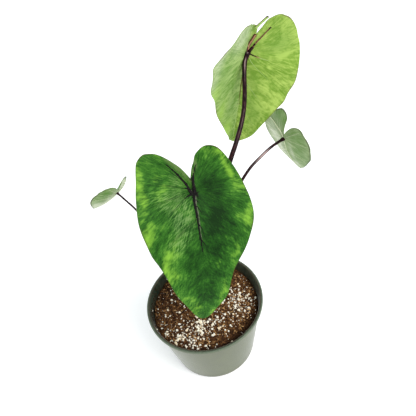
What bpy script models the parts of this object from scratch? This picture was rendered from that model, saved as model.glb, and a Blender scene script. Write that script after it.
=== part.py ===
"""Potted pharaohs mask colocasia: a young taro plant with four heart-shaped leaves in a nursery pot.

The pot is one thin moulded shell. The soil fills it to a little below the lip, and four leaf stems
stand in plain holes in the soil. Each stem carries one blade at a point inside the blade's outline,
where the ribs also meet, so every blade is built outwards from there.

Lengths are in millimetres and angles in degrees. Meshes are made in metres. +Z is up, the front of
the plant looks along -Y, and the origin is on the pot's axis where it rests on the floor.
"""

import math
import random

import bmesh
import bpy
import numpy as np
from mathutils import Vector, noise

MM = 0.001
TOUCH_GAP = 0.3
WELD = 0.02
HOLE_SIDES = 16

# Colours
POT_GREEN = (0.17, 0.22, 0.18)
SOIL_BROWN = (0.11, 0.06, 0.035)
GROWN_GREEN = (0.09, 0.26, 0.05)
YOUNG_GREEN = (0.22, 0.36, 0.14)
STEM_PURPLE = (0.035, 0.015, 0.022)
POT_ROUGHNESS = 0.42
SOIL_ROUGHNESS = 0.95
LEAF_ROUGHNESS = 0.45
STEM_ROUGHNESS = 0.35

# Pot
LIP_RADIUS = 76.0
LIP_HEIGHT = 3.4
LIP_ROLL = 1.2
LIP_EDGE = 0.5
ROLL_STEPS = 3
POT_HEIGHT = 106.0
POT_BASE_RADIUS = 57.0
POT_WALL = 1.5
POT_SHOULDER = 2.4
POT_CORNER = 5.0
CORNER_STEPS = 4
POT_STEPS = 48
FOOT_WIDTH = 8.0
PAD_RADIUS = 18.0
CHANNEL_RISE = 2.4
CHANNEL_RAMP = 3.0
DRAIN_HOLES = 8
DRAIN_RADIUS = 4.0
DRAIN_CIRCLE = 33.0

# Soil
SOIL_TOP = 93.0
SOIL_CROWN = 2.0
SOIL_CELLS = 38
CRUMB_HEIGHT = 1.1
CRUMB_SIZE = 11.0
CRUMB_OCTAVES = 3
GRAINS = 170
GRAIN_HEIGHT = (0.8, 1.7)
SOIL_SEED = 7

# Stems
STEM_DEPTH = 34.0
STEM_STRAIGHT = 3.0
STEM_POINTS = 22
STEM_SIDES = 2
STEM_COLLAR = 1.2

# Blades
BLADE_THICKNESS = 0.8
MIDRIB_HEIGHT = 2.0
BASAL_RIB_HEIGHT = 1.3
SIDE_RIB_HEIGHT = 0.7
RIB_TAPER = 0.85
RIB_HALF_WIDTH = 0.09
FIRST_ROW = 0.6
WIDE_GAP = 1.3
MIDLINE_BLEND = 8.0
VEIN_LEAN = 0.7
MARGIN_WAVE = 0.9
YOUNG_SIZE = 0.5
BASAL_RIB = 8.4
LARGE_VEINS = (1.4, 2.3, 3.1, 3.8, 4.6, 5.6, 6.7, BASAL_RIB, 10.2)
SMALL_VEINS = (2.0, 3.4, 4.6, 6.2, BASAL_RIB)
LARGE_COLUMNS = (0.0, 0.04, 0.27, 0.52, 0.77, 1.0)
SMALL_COLUMNS = (0.0, 0.06, 0.36, 0.7, 1.0)

BEND_SPAN = 100.0
LEAST_BEND = 1e-6

# Half outline of a young blade, from its tip round to the notch, for a blade 1 long from stem to tip
YOUNG_OUTLINE = (
    (1.0, 0.0),
    (0.93, 0.072),
    (0.8, 0.158),
    (0.62, 0.262),
    (0.4, 0.363),
    (0.2, 0.415),
    (0.02, 0.42),
    (-0.15, 0.378),
    (-0.27, 0.29),
    (-0.31, 0.186),
    (-0.27, 0.095),
    (-0.18, 0.036),
    (-0.09, 0.0),
)
LAST_PLACE = float(len(YOUNG_OUTLINE) - 1)

# Each outline runs from the tip round one lobe to the notch: distance ahead of the stem, then width
FRONT_RIGHT = ((144, 0), (134, 10), (115, 22), (89, 35), (58, 51), (29, 60), (3, 59), (-25, 54),
               (-44, 44), (-48, 31), (-39, 18), (-24, 7), (-12, 0))
FRONT_LEFT = ((144, 0), (134, 10), (115, 22), (89, 35), (58, 53), (29, 62), (3, 59), (-24, 53),
              (-42, 42), (-47, 28), (-41, 14), (-25, 6), (-12, 0))
BACK_RIGHT = ((129, 0), (120, 11), (103, 22), (80, 34), (51, 46), (26, 53), (3, 53), (-21, 47),
              (-38, 36), (-45, 24), (-40, 13), (-28, 6), (-19, 0))
BACK_LEFT = ((129, 0), (120, 6), (103, 16), (80, 26), (51, 37), (26, 46), (3, 51), (-22, 50),
             (-42, 41), (-50, 26), (-44, 13), (-32, 3), (-19, 0))

# A leaf's heading is the compass angle of its midrib from +X, its droop the midrib's fall below the
# level at the stem, and its roll the turn about the midrib. The bends are in degrees per 100 mm:
# arch along the midrib, and cup across each half, which also leaves the midrib at its fold.
LEAVES = {
    "front": {
        "junction": (16.4, -4.9, 298.3), "heading": -87.2, "droop": 38.9, "roll": 20.7,
        "arch": 31.5, "arch_left": 17.0, "arch_right": 67.6, "cup": 0.0, "twist": 6.3,
        "fold_left": 3.8, "fold_right": 1.3, "left": FRONT_LEFT, "right": FRONT_RIGHT,
        "waves": 5, "veins": LARGE_VEINS, "columns": LARGE_COLUMNS,
        "base": (0.0, -7.0), "base_radius": 4.6, "top_radius": 2.6,
        "route": ((1.0, -3.0, 135.0), (2.0, 6.0, 190.0), (2.0, 13.0, 240.0), (6.0, 10.0, 272.0)),
    },
    "back": {
        "junction": (93.8, 74.8, 392.4), "heading": 127.8, "droop": 74.2, "roll": -17.4,
        "arch": -1.1, "arch_left": 41.8, "arch_right": 41.8, "cup": -12.0, "twist": 22.9,
        "fold_left": 22.8, "fold_right": 30.7, "left": BACK_LEFT, "right": BACK_RIGHT,
        "waves": 6, "veins": LARGE_VEINS, "columns": LARGE_COLUMNS,
        "base": (4.0, 8.0), "base_radius": 5.0, "top_radius": 2.3,
        "route": ((5.8, 9.3, 127.0), (12.1, 14.0, 160.0), (26.5, 24.7, 206.0), (44.4, 38.1, 249.0),
                  (61.2, 50.5, 281.4), (70.9, 57.8, 298.7), (79.2, 63.9, 316.4), (84.2, 67.6, 332.0),
                  (87.0, 69.7, 350.0), (88.5, 70.8, 369.9)),
    },
    "right": {
        "junction": (132.6, 91.7, 266.8), "heading": 61.9, "droop": 70.6, "roll": -48.4,
        "arch": -26.4, "arch_left": -232.0, "arch_right": -108.0, "cup": 0.0, "twist": 0.0,
        "fold_left": 10.0, "fold_right": -29.9, "length": 85.0, "width": 1.0, "lobes": 1.07,
        "waves": 4, "veins": SMALL_VEINS, "columns": SMALL_COLUMNS,
        "base": (13.5, -2.0), "base_radius": 3.2, "top_radius": 1.5,
        "route": ((17.1, 0.8, 135.0), (29.0, 10.2, 187.0), (45.7, 23.3, 226.0), (61.1, 35.5, 249.0),
                  (71.2, 43.4, 258.7), (83.9, 53.4, 266.7), (98.8, 65.1, 269.6), (114.1, 77.2, 270.3)),
    },
    "left": {
        "junction": (-73.5, 61.3, 258.9), "heading": 152.4, "droop": 49.2, "roll": -16.8,
        "arch": -35.5, "arch_left": -184.0, "arch_right": -328.0, "cup": -201.0, "twist": 0.0,
        "fold_left": -1.0, "fold_right": 4.6, "length": 58.7, "width": 1.075, "lobes": 0.81,
        "waves": 3, "veins": SMALL_VEINS, "columns": SMALL_COLUMNS,
        "base": (-8.5, 2.5), "base_radius": 2.6, "top_radius": 1.0,
        "route": ((-10.5, 4.3, 125.0), (-17.6, 10.7, 165.0), (-32.6, 24.3, 205.0),
                  (-54.4, 44.0, 239.9), (-63.3, 52.1, 249.4)),
    },
}


def clear_scene():
    for thing in list(bpy.data.objects):
        bpy.data.objects.remove(thing, do_unlink=True)


def collection(name, is_helper=False):
    made = bpy.data.collections.new(name)
    bpy.context.scene.collection.children.link(made)
    made.hide_render = is_helper
    return made


def material(name, colour, roughness):
    made = bpy.data.materials.new(name)
    made.use_nodes = True
    shader = made.node_tree.nodes["Principled BSDF"]
    shader.inputs["Base Color"].default_value = (*colour, 1.0)
    shader.inputs["Roughness"].default_value = roughness
    shader.inputs["Metallic"].default_value = 0.0
    return made


def add_object(name, data, finish, group):
    made = bpy.data.objects.new(name, data)
    data.materials.append(finish)
    group.objects.link(made)
    return made


def arc(centre, radius, start, end, steps):
    """Points of a circular arc in a profile, as radius from the pot's axis and height."""
    angles = [math.radians(start + (end - start) * i / steps) for i in range(steps + 1)]
    return [(centre[0] + radius * math.cos(a), centre[1] + radius * math.sin(a)) for a in angles]


def smooth_step(value):
    value = np.clip(value, 0.0, 1.0)
    return value * value * (3.0 - 2.0 * value)


# The pot: inner and outer radius of the tapered wall at a height
def outer_radius(height):
    top = LIP_RADIUS - POT_SHOULDER
    return POT_BASE_RADIUS + (top - POT_BASE_RADIUS) * height / POT_HEIGHT


def inner_radius(height):
    return outer_radius(height) - POT_WALL


def pot_profile():
    """Half section of the pot, from the floor's middle up inside, over the lip and down outside."""
    channel_in = PAD_RADIUS + CHANNEL_RAMP
    foot_in = POT_BASE_RADIUS - POT_CORNER - FOOT_WIDTH
    channel_out = foot_in - CHANNEL_RAMP
    floor_up = POT_WALL + CHANNEL_RISE
    corner_inside = POT_CORNER - POT_WALL
    lip_in = inner_radius(POT_HEIGHT) + LIP_ROLL
    lip_bottom = POT_HEIGHT - LIP_HEIGHT
    centre = (inner_radius(POT_CORNER) - corner_inside, POT_CORNER)
    inside = [(0.0, POT_WALL), (PAD_RADIUS, POT_WALL), (channel_in, floor_up), (channel_out, floor_up)]
    inside += [(foot_in, POT_WALL)] + arc(centre, corner_inside, -90, 0, CORNER_STEPS)
    lip = arc((lip_in, POT_HEIGHT - LIP_ROLL), LIP_ROLL, 180, 90, ROLL_STEPS)
    lip += arc((LIP_RADIUS - LIP_ROLL, POT_HEIGHT - LIP_ROLL), LIP_ROLL, 90, 0, ROLL_STEPS)
    lip += [(LIP_RADIUS, lip_bottom + LIP_EDGE), (LIP_RADIUS - LIP_EDGE, lip_bottom)]
    shoulder = [(outer_radius(lip_bottom), lip_bottom)]
    corner = (outer_radius(POT_CORNER) - POT_CORNER, POT_CORNER)
    outside = arc(corner, POT_CORNER, 0, -90, CORNER_STEPS + 1)
    under = [(foot_in, 0.0), (channel_out, CHANNEL_RISE), (channel_in, CHANNEL_RISE), (PAD_RADIUS, 0.0)]
    return inside + lip + shoulder + outside + under + [(0.0, 0.0)]


def make_pot(group, helpers):
    profile = [(radius, 0.0, height) for radius, height in pot_profile()]
    mesh = bpy.data.meshes.new("pot")
    edges = [(i, i + 1) for i in range(len(profile) - 1)]
    mesh.from_pydata([tuple(c * MM for c in point) for point in profile], edges, [])
    pot = add_object("pot", mesh, material("pot", POT_GREEN, POT_ROUGHNESS), group)
    turn = pot.modifiers.new("turn", "SCREW")
    turn.angle = 2.0 * math.pi
    turn.steps = POT_STEPS
    turn.render_steps = POT_STEPS
    turn.use_merge_vertices = True
    turn.merge_threshold = WELD * MM
    cut = pot.modifiers.new("drain_holes", "BOOLEAN")
    cut.operation = "DIFFERENCE"
    cut.object = drain_cutter(helpers)
    return pot


def drain_cutter(helpers):
    """Eight round drain holes through the raised channel of the pot's floor."""
    shape = bmesh.new()
    for i in range(DRAIN_HOLES):
        angle = 2.0 * math.pi * (i + 0.5) / DRAIN_HOLES
        made = bmesh.ops.create_cone(
            shape, cap_ends=True, segments=HOLE_SIDES, radius1=DRAIN_RADIUS * MM,
            radius2=DRAIN_RADIUS * MM, depth=3.0 * (CHANNEL_RISE + POT_WALL) * MM)
        place = Vector((math.cos(angle), math.sin(angle), 0.0)) * DRAIN_CIRCLE * MM
        place.z = (CHANNEL_RISE + POT_WALL / 2) * MM
        bmesh.ops.translate(shape, verts=made["verts"], vec=place)
    return cutter_object("drain_cutter", shape, helpers)


def cutter_object(name, shape, helpers):
    mesh = bpy.data.meshes.new(name)
    shape.to_mesh(mesh)
    shape.free()
    cutter = bpy.data.objects.new(name, mesh)
    helpers.objects.link(cutter)
    cutter.hide_render = True
    cutter.display_type = "WIRE"
    return cutter


# The soil: one body with a crumbly top, as wide as the pot's inside
def disc_point(across, along):
    """Wraps a square from -1 to 1 on to a round disc of radius 1."""
    return across * math.sqrt(1.0 - along * along / 2.0), along * math.sqrt(1.0 - across * across / 2.0)


def soil_relief(x, y):
    """Height of the soil's top over its mean level: low crumbs, and a slight heap in the middle."""
    crumbs = noise.fractal(Vector((x, y, 0.0)) / CRUMB_SIZE, 1.0, 2.0, CRUMB_OCTAVES)
    heap = SOIL_CROWN * (1.0 - (x * x + y * y) / LIP_RADIUS**2)
    return CRUMB_HEIGHT * crumbs + heap - SOIL_CROWN / 2


def ring_below(shape, spread, height):
    """Carries the open edge of a shell down to a height in millimetres, scaled about the axis."""
    made = bmesh.ops.extrude_edge_only(shape, edges=[e for e in shape.edges if e.is_boundary])
    for part in made["geom"]:
        if isinstance(part, bmesh.types.BMVert):
            part.co = Vector((part.co.x * spread, part.co.y * spread, height * MM))


def make_soil(group, helpers):
    shape = bmesh.new()
    bmesh.ops.create_grid(shape, x_segments=SOIL_CELLS, y_segments=SOIL_CELLS, size=1.0)
    flatness = math.cos(math.pi / POT_STEPS)
    top_radius = inner_radius(SOIL_TOP) * flatness - TOUCH_GAP
    draw = random.Random(SOIL_SEED)
    inner = [vert for vert in shape.verts if not vert.is_boundary]
    lift = {vert: draw.uniform(*GRAIN_HEIGHT) for vert in draw.sample(inner, GRAINS)}
    for vert in shape.verts:
        x, y = disc_point(vert.co.x, vert.co.y)
        x, y = x * top_radius, y * top_radius
        height = SOIL_TOP + soil_relief(x, y) + lift.get(vert, 0.0)
        vert.co = Vector((x, y, height)) * MM
    bottom = POT_WALL + CHANNEL_RISE + TOUCH_GAP
    shoulder = bottom + POT_CORNER
    shoulder_radius = inner_radius(shoulder) * flatness - TOUCH_GAP
    ring_below(shape, shoulder_radius / top_radius, shoulder)
    ring_below(shape, (shoulder_radius - POT_CORNER) / shoulder_radius, bottom)
    bmesh.ops.edgeloop_fill(shape, edges=[e for e in shape.edges if e.is_boundary])
    bmesh.ops.triangulate(shape, faces=shape.faces[:])
    bmesh.ops.recalc_face_normals(shape, faces=shape.faces[:])
    mesh = bpy.data.meshes.new("soil")
    shape.to_mesh(mesh)
    shape.free()
    soil = add_object("soil", mesh, material("soil", SOIL_BROWN, SOIL_ROUGHNESS), group)
    cut = soil.modifiers.new("stem_holes", "BOOLEAN")
    cut.operation = "DIFFERENCE"
    cut.object = hole_cutter(helpers)
    return soil


def hole_cutter(helpers):
    """A plain round hole for each stem, a little wider and deeper than the stem."""
    shape = bmesh.new()
    for leaf in LEAVES.values():
        radius = (leaf["base_radius"] * STEM_COLLAR + TOUCH_GAP) * MM
        made = bmesh.ops.create_cone(
            shape, cap_ends=True, segments=HOLE_SIDES, radius1=radius, radius2=radius,
            depth=2.0 * (STEM_DEPTH + TOUCH_GAP) * MM)
        place = Vector((*leaf["base"], SOIL_TOP)) * MM
        bmesh.ops.translate(shape, verts=made["verts"], vec=place)
    return cutter_object("hole_cutter", shape, helpers)


def padded(points):
    """The points with one more beyond each end, so that a curve can run through all of them."""
    knots = [np.array(point, float) for point in points]
    return [2 * knots[0] - knots[1], *knots, 2 * knots[-1] - knots[-2]]


def curve_at(knots, place):
    """The smooth curve's point at a place counted along its padded points."""
    i = min(int(place), len(knots) - 4)
    t = place - i
    a, b, c, d = knots[i : i + 4]
    bend = (2 * a - 5 * b + 4 * c - d) * t + (3 * b - a - 3 * c + d) * t * t
    return 0.5 * (2 * b + (c - a) * t + bend * t)


def through(points, count):
    """Points of a smooth curve through the given points, the same number between each two of them."""
    knots = padded(points)
    spans = len(points) - 1
    return [curve_at(knots, spans * i / (count - 1)) for i in range(count)]


# The blades: flat outline first, then bent and set on the stem
def blade_axes(leaf):
    """Directions at the stem: along the midrib, to the blade's right, and out of its upper side."""
    heading, droop, roll = (math.radians(leaf[k]) for k in ("heading", "droop", "roll"))
    level = np.array((math.cos(heading), math.sin(heading), 0.0))
    up = np.array((0.0, 0.0, 1.0))
    along = level * math.cos(droop) - up * math.sin(droop)
    out = level * math.sin(droop) + up * math.cos(droop)
    right = np.cross(along, out)
    return (along, right * math.cos(roll) + out * math.sin(roll),
            out * math.cos(roll) - right * math.sin(roll))


def outline(leaf, side):
    """Half outline in millimetres, from the tip to the notch."""
    if "length" not in leaf:
        return leaf[side]
    scale = leaf["length"]
    points = []
    for ahead, width in YOUNG_OUTLINE:
        stretch = leaf["lobes"] if ahead < 0 else 1.0
        points.append((ahead * stretch * scale, width * leaf["width"] * scale))
    return points


def rib_scale(leaf):
    """A young blade's ribs and waves are smaller than a grown one's."""
    return YOUNG_SIZE if "length" in leaf else 1.0


def per_mm(bend):
    """A bend in degrees per 100 mm as radians per mm, kept off zero so that it can divide."""
    rate = math.radians(bend) / BEND_SPAN
    return rate if abs(rate) > LEAST_BEND else LEAST_BEND


def bent(leaf, ahead, across):
    """Where a point of the flat blade lies in the world once the blade is bent, folded and cupped."""
    along, right, out = blade_axes(leaf)
    blend = float(smooth_step(across / (2.0 * MIDLINE_BLEND) + 0.5))
    lobe_bend = per_mm(leaf["arch_left"]) * (1.0 - blend) + per_mm(leaf["arch_right"]) * blend
    bend = per_mm(leaf["arch"]) if ahead >= 0 else lobe_bend
    turn = bend * ahead
    forward = along * math.cos(turn) - out * math.sin(turn)
    upper = out * math.cos(turn) + along * math.sin(turn)
    spine = along * math.sin(turn) / bend - out * (1.0 - math.cos(turn)) / bend
    twist = math.radians(leaf["twist"]) * ahead / BEND_SPAN
    sideways = right * math.cos(twist) + np.cross(forward, right) * math.sin(twist)
    upper = upper * math.cos(twist) + np.cross(forward, upper) * math.sin(twist)
    cup = per_mm(leaf["cup"])
    fold = math.radians(leaf["fold_right"] if across >= 0 else leaf["fold_left"])
    lean = fold + cup * abs(across)
    reach = (math.sin(lean) - math.sin(fold)) / cup
    drop = (math.cos(fold) - math.cos(lean)) / cup
    return np.array(leaf["junction"]) + spine + math.copysign(reach, across) * sideways - drop * upper


def row_places(veins):
    """Places along the outline that get a row of the mesh, each with the vein it carries or None."""
    stops = [0.0, *veins, LAST_PLACE]
    places = {0.0: None, FIRST_ROW: None, LAST_PLACE: None}
    for before, after in zip(stops[1:], stops[2:]):
        parts = 3 if after - before > WIDE_GAP else 2
        places.update({before + (after - before) * i / parts: None for i in range(1, parts)})
    for vein in veins:
        places[vein - RIB_HALF_WIDTH] = None
        places[vein] = vein
        places[vein + RIB_HALF_WIDTH] = None
    return sorted(places.items())


def vein_roots(leaf, places):
    """Where each row leaves the midrib, the same for both halves: ahead of its end, or at the stem."""
    sides = [padded(outline(leaf, side)) for side in ("left", "right")]
    roots = []
    for place, _ in places:
        ends = [curve_at(knots, place) for knots in sides]
        root = sum(end[0] - VEIN_LEAN * end[1] for end in ends) / 2
        roots.append(max(root, 0.0))
    roots[0] = sides[0][1][0]
    return roots


def rib_height(vein, share, root, length):
    """How far a rib stands out of the underside at a share of the way from midrib to margin."""
    height = 0.0
    if share == 0.0:
        height = MIDRIB_HEIGHT * (1.0 - RIB_TAPER * root / length)
    if vein is not None:
        rib = BASAL_RIB_HEIGHT if vein == BASAL_RIB else SIDE_RIB_HEIGHT
        height = max(height, rib * (1.0 - share))
    return height


def make_blade(name, leaf, group):
    """A grid pulled into the blade's upper side, thickened downwards and more so along its ribs."""
    places = row_places(leaf["veins"])
    roots = vein_roots(leaf, places)
    shares = leaf["columns"]
    wide = len(shares) - 1
    knots = {side: padded(outline(leaf, side)) for side in ("left", "right")}
    length = knots["left"][1][0]
    size = rib_scale(leaf)
    most = BLADE_THICKNESS + MIDRIB_HEIGHT
    shape = bmesh.new()
    bmesh.ops.create_grid(shape, x_segments=2 * wide, y_segments=len(places) - 1, size=1.0)
    thickness = shape.verts.layers.deform.verify()
    for vert in shape.verts:
        column = round(vert.co.x * wide)
        row = round((vert.co.y + 1.0) / 2.0 * (len(places) - 1))
        place, vein = places[row]
        share = shares[abs(column)]
        side, sign = ("right", 1.0) if column >= 0 else ("left", -1.0)
        end = curve_at(knots[side], place)
        ahead = roots[row] + (end[0] - roots[row]) * share
        wave = math.sin(2.0 * math.pi * leaf["waves"] * place / LAST_PLACE + sign)
        lift = MARGIN_WAVE * size * wave * share**2 * math.sin(math.pi * place / LAST_PLACE)
        spot = bent(leaf, ahead, sign * end[1] * share) + blade_axes(leaf)[2] * lift
        vert.co = Vector(spot) * MM
        ribbed = BLADE_THICKNESS + size * rib_height(vein, share, roots[row], length)
        vert[thickness][0] = ribbed / most
    bmesh.ops.remove_doubles(shape, verts=shape.verts[:], dist=WELD * MM)
    bmesh.ops.triangulate(shape, faces=shape.faces[:])
    mesh = bpy.data.meshes.new(name)
    shape.to_mesh(mesh)
    shape.free()
    mesh.shade_smooth()
    finish = YOUNG_GREEN if "length" in leaf else GROWN_GREEN
    blade = add_object(name, mesh, material(name, finish, LEAF_ROUGHNESS), group)
    blade.vertex_groups.new(name="thickness")
    body = blade.modifiers.new("body", "SOLIDIFY")
    body.thickness = most * MM
    body.offset = 1.0
    body.vertex_group = "thickness"
    return blade


def stem_route(leaf):
    """From the bottom of its hole, straight up through the soil and along its curve to the blade."""
    x, y = leaf["base"]
    out = blade_axes(leaf)[2]
    last = np.array(leaf["route"][-1])
    junction = np.array(leaf["junction"])
    arrive = (junction - last) / np.linalg.norm(junction - last)
    tilt = math.sqrt(max(0.0, 1.0 - float(np.dot(arrive, out)) ** 2))
    rib = MIDRIB_HEIGHT * rib_scale(leaf)
    stand_off = BLADE_THICKNESS + rib + TOUCH_GAP + leaf["top_radius"] * tilt
    top = junction - out * stand_off
    above = (x, y, SOIL_TOP + STEM_STRAIGHT)
    curve = through([above, *leaf["route"], top], STEM_POINTS - 1)
    return [np.array((x, y, SOIL_TOP - STEM_DEPTH)), *curve]


def make_stem(name, leaf, group):
    data = bpy.data.curves.new(name, "CURVE")
    data.dimensions = "3D"
    data.bevel_depth = leaf["base_radius"] * MM
    data.bevel_resolution = STEM_SIDES
    data.use_fill_caps = True
    route = stem_route(leaf)
    line = data.splines.new("POLY")
    line.points.add(len(route) - 1)
    slim = leaf["top_radius"] / leaf["base_radius"]
    for i, spot in enumerate(route):
        share = max(0.0, (spot[2] - SOIL_TOP) / (route[-1][2] - SOIL_TOP))
        line.points[i].co = (*(spot * MM), 1.0)
        line.points[i].radius = slim + (STEM_COLLAR - slim) * (1.0 - share) ** 2
    return add_object(name, data, material(name, STEM_PURPLE, STEM_ROUGHNESS), group)


def main():
    clear_scene()
    parts = collection("potted_colocasia")
    helpers = collection("cutters", is_helper=True)
    make_pot(parts, helpers)
    make_soil(parts, helpers)
    for where, leaf in LEAVES.items():
        make_blade("blade_" + where, leaf, parts)
        make_stem("stem_" + where, leaf, parts)


main()
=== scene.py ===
"""Potted pharaohs mask colocasia: the finished look of the plant, its soil and its nursery pot.

The sections follow the plant as it is put together: pot, soil, the four leaf blades, their stems, and
the studio. Sizes are in millimetres and angles in degrees, counted from +X where they are directions
seen from above. Each mesh is made in metres.
"""

import math
import random

import bmesh
import bpy
import numpy as np
from mathutils import Matrix, Vector, noise


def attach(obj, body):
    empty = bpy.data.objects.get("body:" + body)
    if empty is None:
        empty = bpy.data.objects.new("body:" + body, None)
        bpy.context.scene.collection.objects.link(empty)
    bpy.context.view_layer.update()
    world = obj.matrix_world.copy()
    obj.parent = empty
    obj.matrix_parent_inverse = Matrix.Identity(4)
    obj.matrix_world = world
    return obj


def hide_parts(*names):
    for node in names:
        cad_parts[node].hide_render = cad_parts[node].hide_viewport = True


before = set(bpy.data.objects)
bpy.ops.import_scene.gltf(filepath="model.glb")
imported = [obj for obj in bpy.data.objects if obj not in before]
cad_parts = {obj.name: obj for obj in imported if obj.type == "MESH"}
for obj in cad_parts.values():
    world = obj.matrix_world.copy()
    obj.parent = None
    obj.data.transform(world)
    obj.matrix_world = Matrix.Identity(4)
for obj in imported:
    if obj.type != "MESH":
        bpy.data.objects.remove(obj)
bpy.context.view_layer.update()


# Pot
# A thin nursery pot, moulded in one piece from grey-green plastic: a tapered wall with a rolled lip,
# and a raised ring with eight drain holes in its floor. It is turned from its half section.
MM = 0.001
LIP_RADIUS = 76.0
LIP_HEIGHT = 3.4
LIP_ROLL = 1.2
LIP_EDGE = 0.5
LIP_FILLET = 0.4
DARK_LIP = 1.7
POT_HEIGHT = 106.0
BASE_RADIUS = 57.0
WALL = 1.5
SHOULDER = 2.4
FOOT_CORNER = 5.0
FOOT_WIDTH = 8.0
PAD_RADIUS = 18.0
CHANNEL_RISE = 2.4
CHANNEL_RAMP = 3.0
LEVELS_INSIDE = (30.0, 60.0, 80.0, 88.0, 94.0, 99.0, 103.0)
LEVELS_OUTSIDE = (96.0, 70.0, 45.0, 20.0)
CORNER_STEPS = 8
LIP_STEPS = 6
EDGE_STEPS = 4
TURN_STEPS = 144
TURN_WELD = 0.02
POT_SHARP = 40.0
DRAIN_HOLES = 8
DRAIN_RADIUS = 4.0
DRAIN_CIRCLE = 33.0
DRAIN_SIDES = 24


def shade(red, green, blue):
    """A colour as it is seen, from 0 to 255, as the linear colour that a shader takes."""
    seen = (value / 255.0 for value in (red, green, blue))
    return (*(v / 12.92 if v <= 0.04045 else ((v + 0.055) / 1.055) ** 2.4 for v in seen), 1.0)


class Channel:
    """A socket in a finish's node tree, on which sums are written as plain Python."""

    def __init__(self, tree, socket=None):
        self.tree = tree
        self.socket = socket

    def node(self, kind, sockets=None, output=0, stops=None, **settings):
        """Adds a node: first its settings and ramp stops, then its sockets' values or links."""
        made = self.tree.nodes.new("ShaderNode" + kind)
        for name, value in settings.items():
            setattr(made, name, value)
        if stops:
            ramp = made.color_ramp.elements
            while len(ramp) < len(stops):
                ramp.new(1.0)
            for stop, (place, colour) in zip(ramp, stops):
                stop.position = place
                stop.color = colour
        for name, value in (sockets or {}).items():
            if isinstance(value, Channel):
                self.tree.links.new(value.socket, made.inputs[name])
            else:
                made.inputs[name].default_value = value
        return Channel(self.tree, made.outputs[output])

    def sum(self, operation, *values):
        return self.node("Math", dict(enumerate(values)), operation=operation)

    def __add__(self, other):
        return self.sum("ADD", self, other)

    def __sub__(self, other):
        return self.sum("SUBTRACT", self, other)

    def __mul__(self, other):
        return self.sum("MULTIPLY", self, other)

    def __rsub__(self, other):
        return self.sum("SUBTRACT", other, self)

    __radd__ = __add__
    __rmul__ = __mul__

    def rise(self, low, high):
        """Runs smoothly from 0 to 1 as the value goes from low to high."""
        sockets = {"Value": self, "From Min": low, "From Max": high}
        return self.node("MapRange", sockets, interpolation_type="SMOOTHSTEP")

    def between(self, first, second):
        """The first colour where the value is 0 and the second where it is 1.

        A mix of colours has its factor at socket 0 and its two colours at 6 and 7."""
        return self.node("Mix", {0: self, 6: first, 7: second}, output=2, data_type="RGBA")

    def ramp(self, *stops):
        """Colours along the value: each stop is a place from 0 to 1 and a colour as it is seen."""
        return self.node("ValToRGB", {0: self}, stops=[(at, shade(*seen)) for at, seen in stops])

    def place(self):
        """The point on the piece, in metres."""
        return self.node("TexCoord", output=3)

    def mark(self, name):
        """One of the numbers that the piece's mesh carries at each corner."""
        return self.node("Attribute", output=2, attribute_name=name)

    def stretched(self, across, along, away=1.0):
        """The vector with each of its three lengths multiplied."""
        return self.node("VectorMath", {0: self, 1: (across, along, away)}, operation="MULTIPLY")

    def mottle(self, size, detail=3.0, roughness=0.55, distortion=0.0):
        """Soft noise from 0 to 1 whose lumps are of about the given size."""
        sockets = {"Vector": self, "Scale": 1.0 / size, "Detail": detail, "Roughness": roughness,
                   "Distortion": distortion}
        return self.node("TexNoise", sockets)


def finish(name, paint):
    """A material whose shader takes what paint returns for each of its sockets."""
    made = bpy.data.materials.new(name)
    made.use_nodes = True
    tree = made.node_tree
    shader = tree.nodes["Principled BSDF"]
    for socket, value in paint(Channel(tree)).items():
        if isinstance(value, Channel):
            tree.links.new(value.socket, shader.inputs[socket])
        else:
            shader.inputs[socket].default_value = value
    return made


def bump(height, depth):
    """A normal for small relief of a real depth in millimetres."""
    return height.node("Bump", {"Height": height, "Distance": depth * MM, "Strength": 1.0})


def layered(colour, *coats):
    """The colour under coats, each an amount from 0 to 1 and the coat's colour as it is seen."""
    for amount, seen in coats:
        colour = amount.between(colour, shade(*seen))
    return colour


def surface(colour, roughness, shine, relief=None, depth=0.0):
    """A plain finish's colour, roughness, shine and small relief, whose depth is in millimetres."""
    sockets = {"Base Color": colour, "Roughness": roughness, "Specular IOR Level": shine}
    if relief is not None:
        sockets["Normal"] = bump(relief, depth)
    return sockets


def arc(centre, radius, start, end, steps):
    """Points of a circular arc in the half section, as radius from the pot's axis and height."""
    angles = [math.radians(start + (end - start) * i / steps) for i in range(steps + 1)]
    return [(centre[0] + radius * math.cos(a), centre[1] + radius * math.sin(a)) for a in angles]


def outer_radius(height):
    top = LIP_RADIUS - SHOULDER
    return BASE_RADIUS + (top - BASE_RADIUS) * height / POT_HEIGHT


def inner_radius(height):
    return outer_radius(height) - WALL


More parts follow.
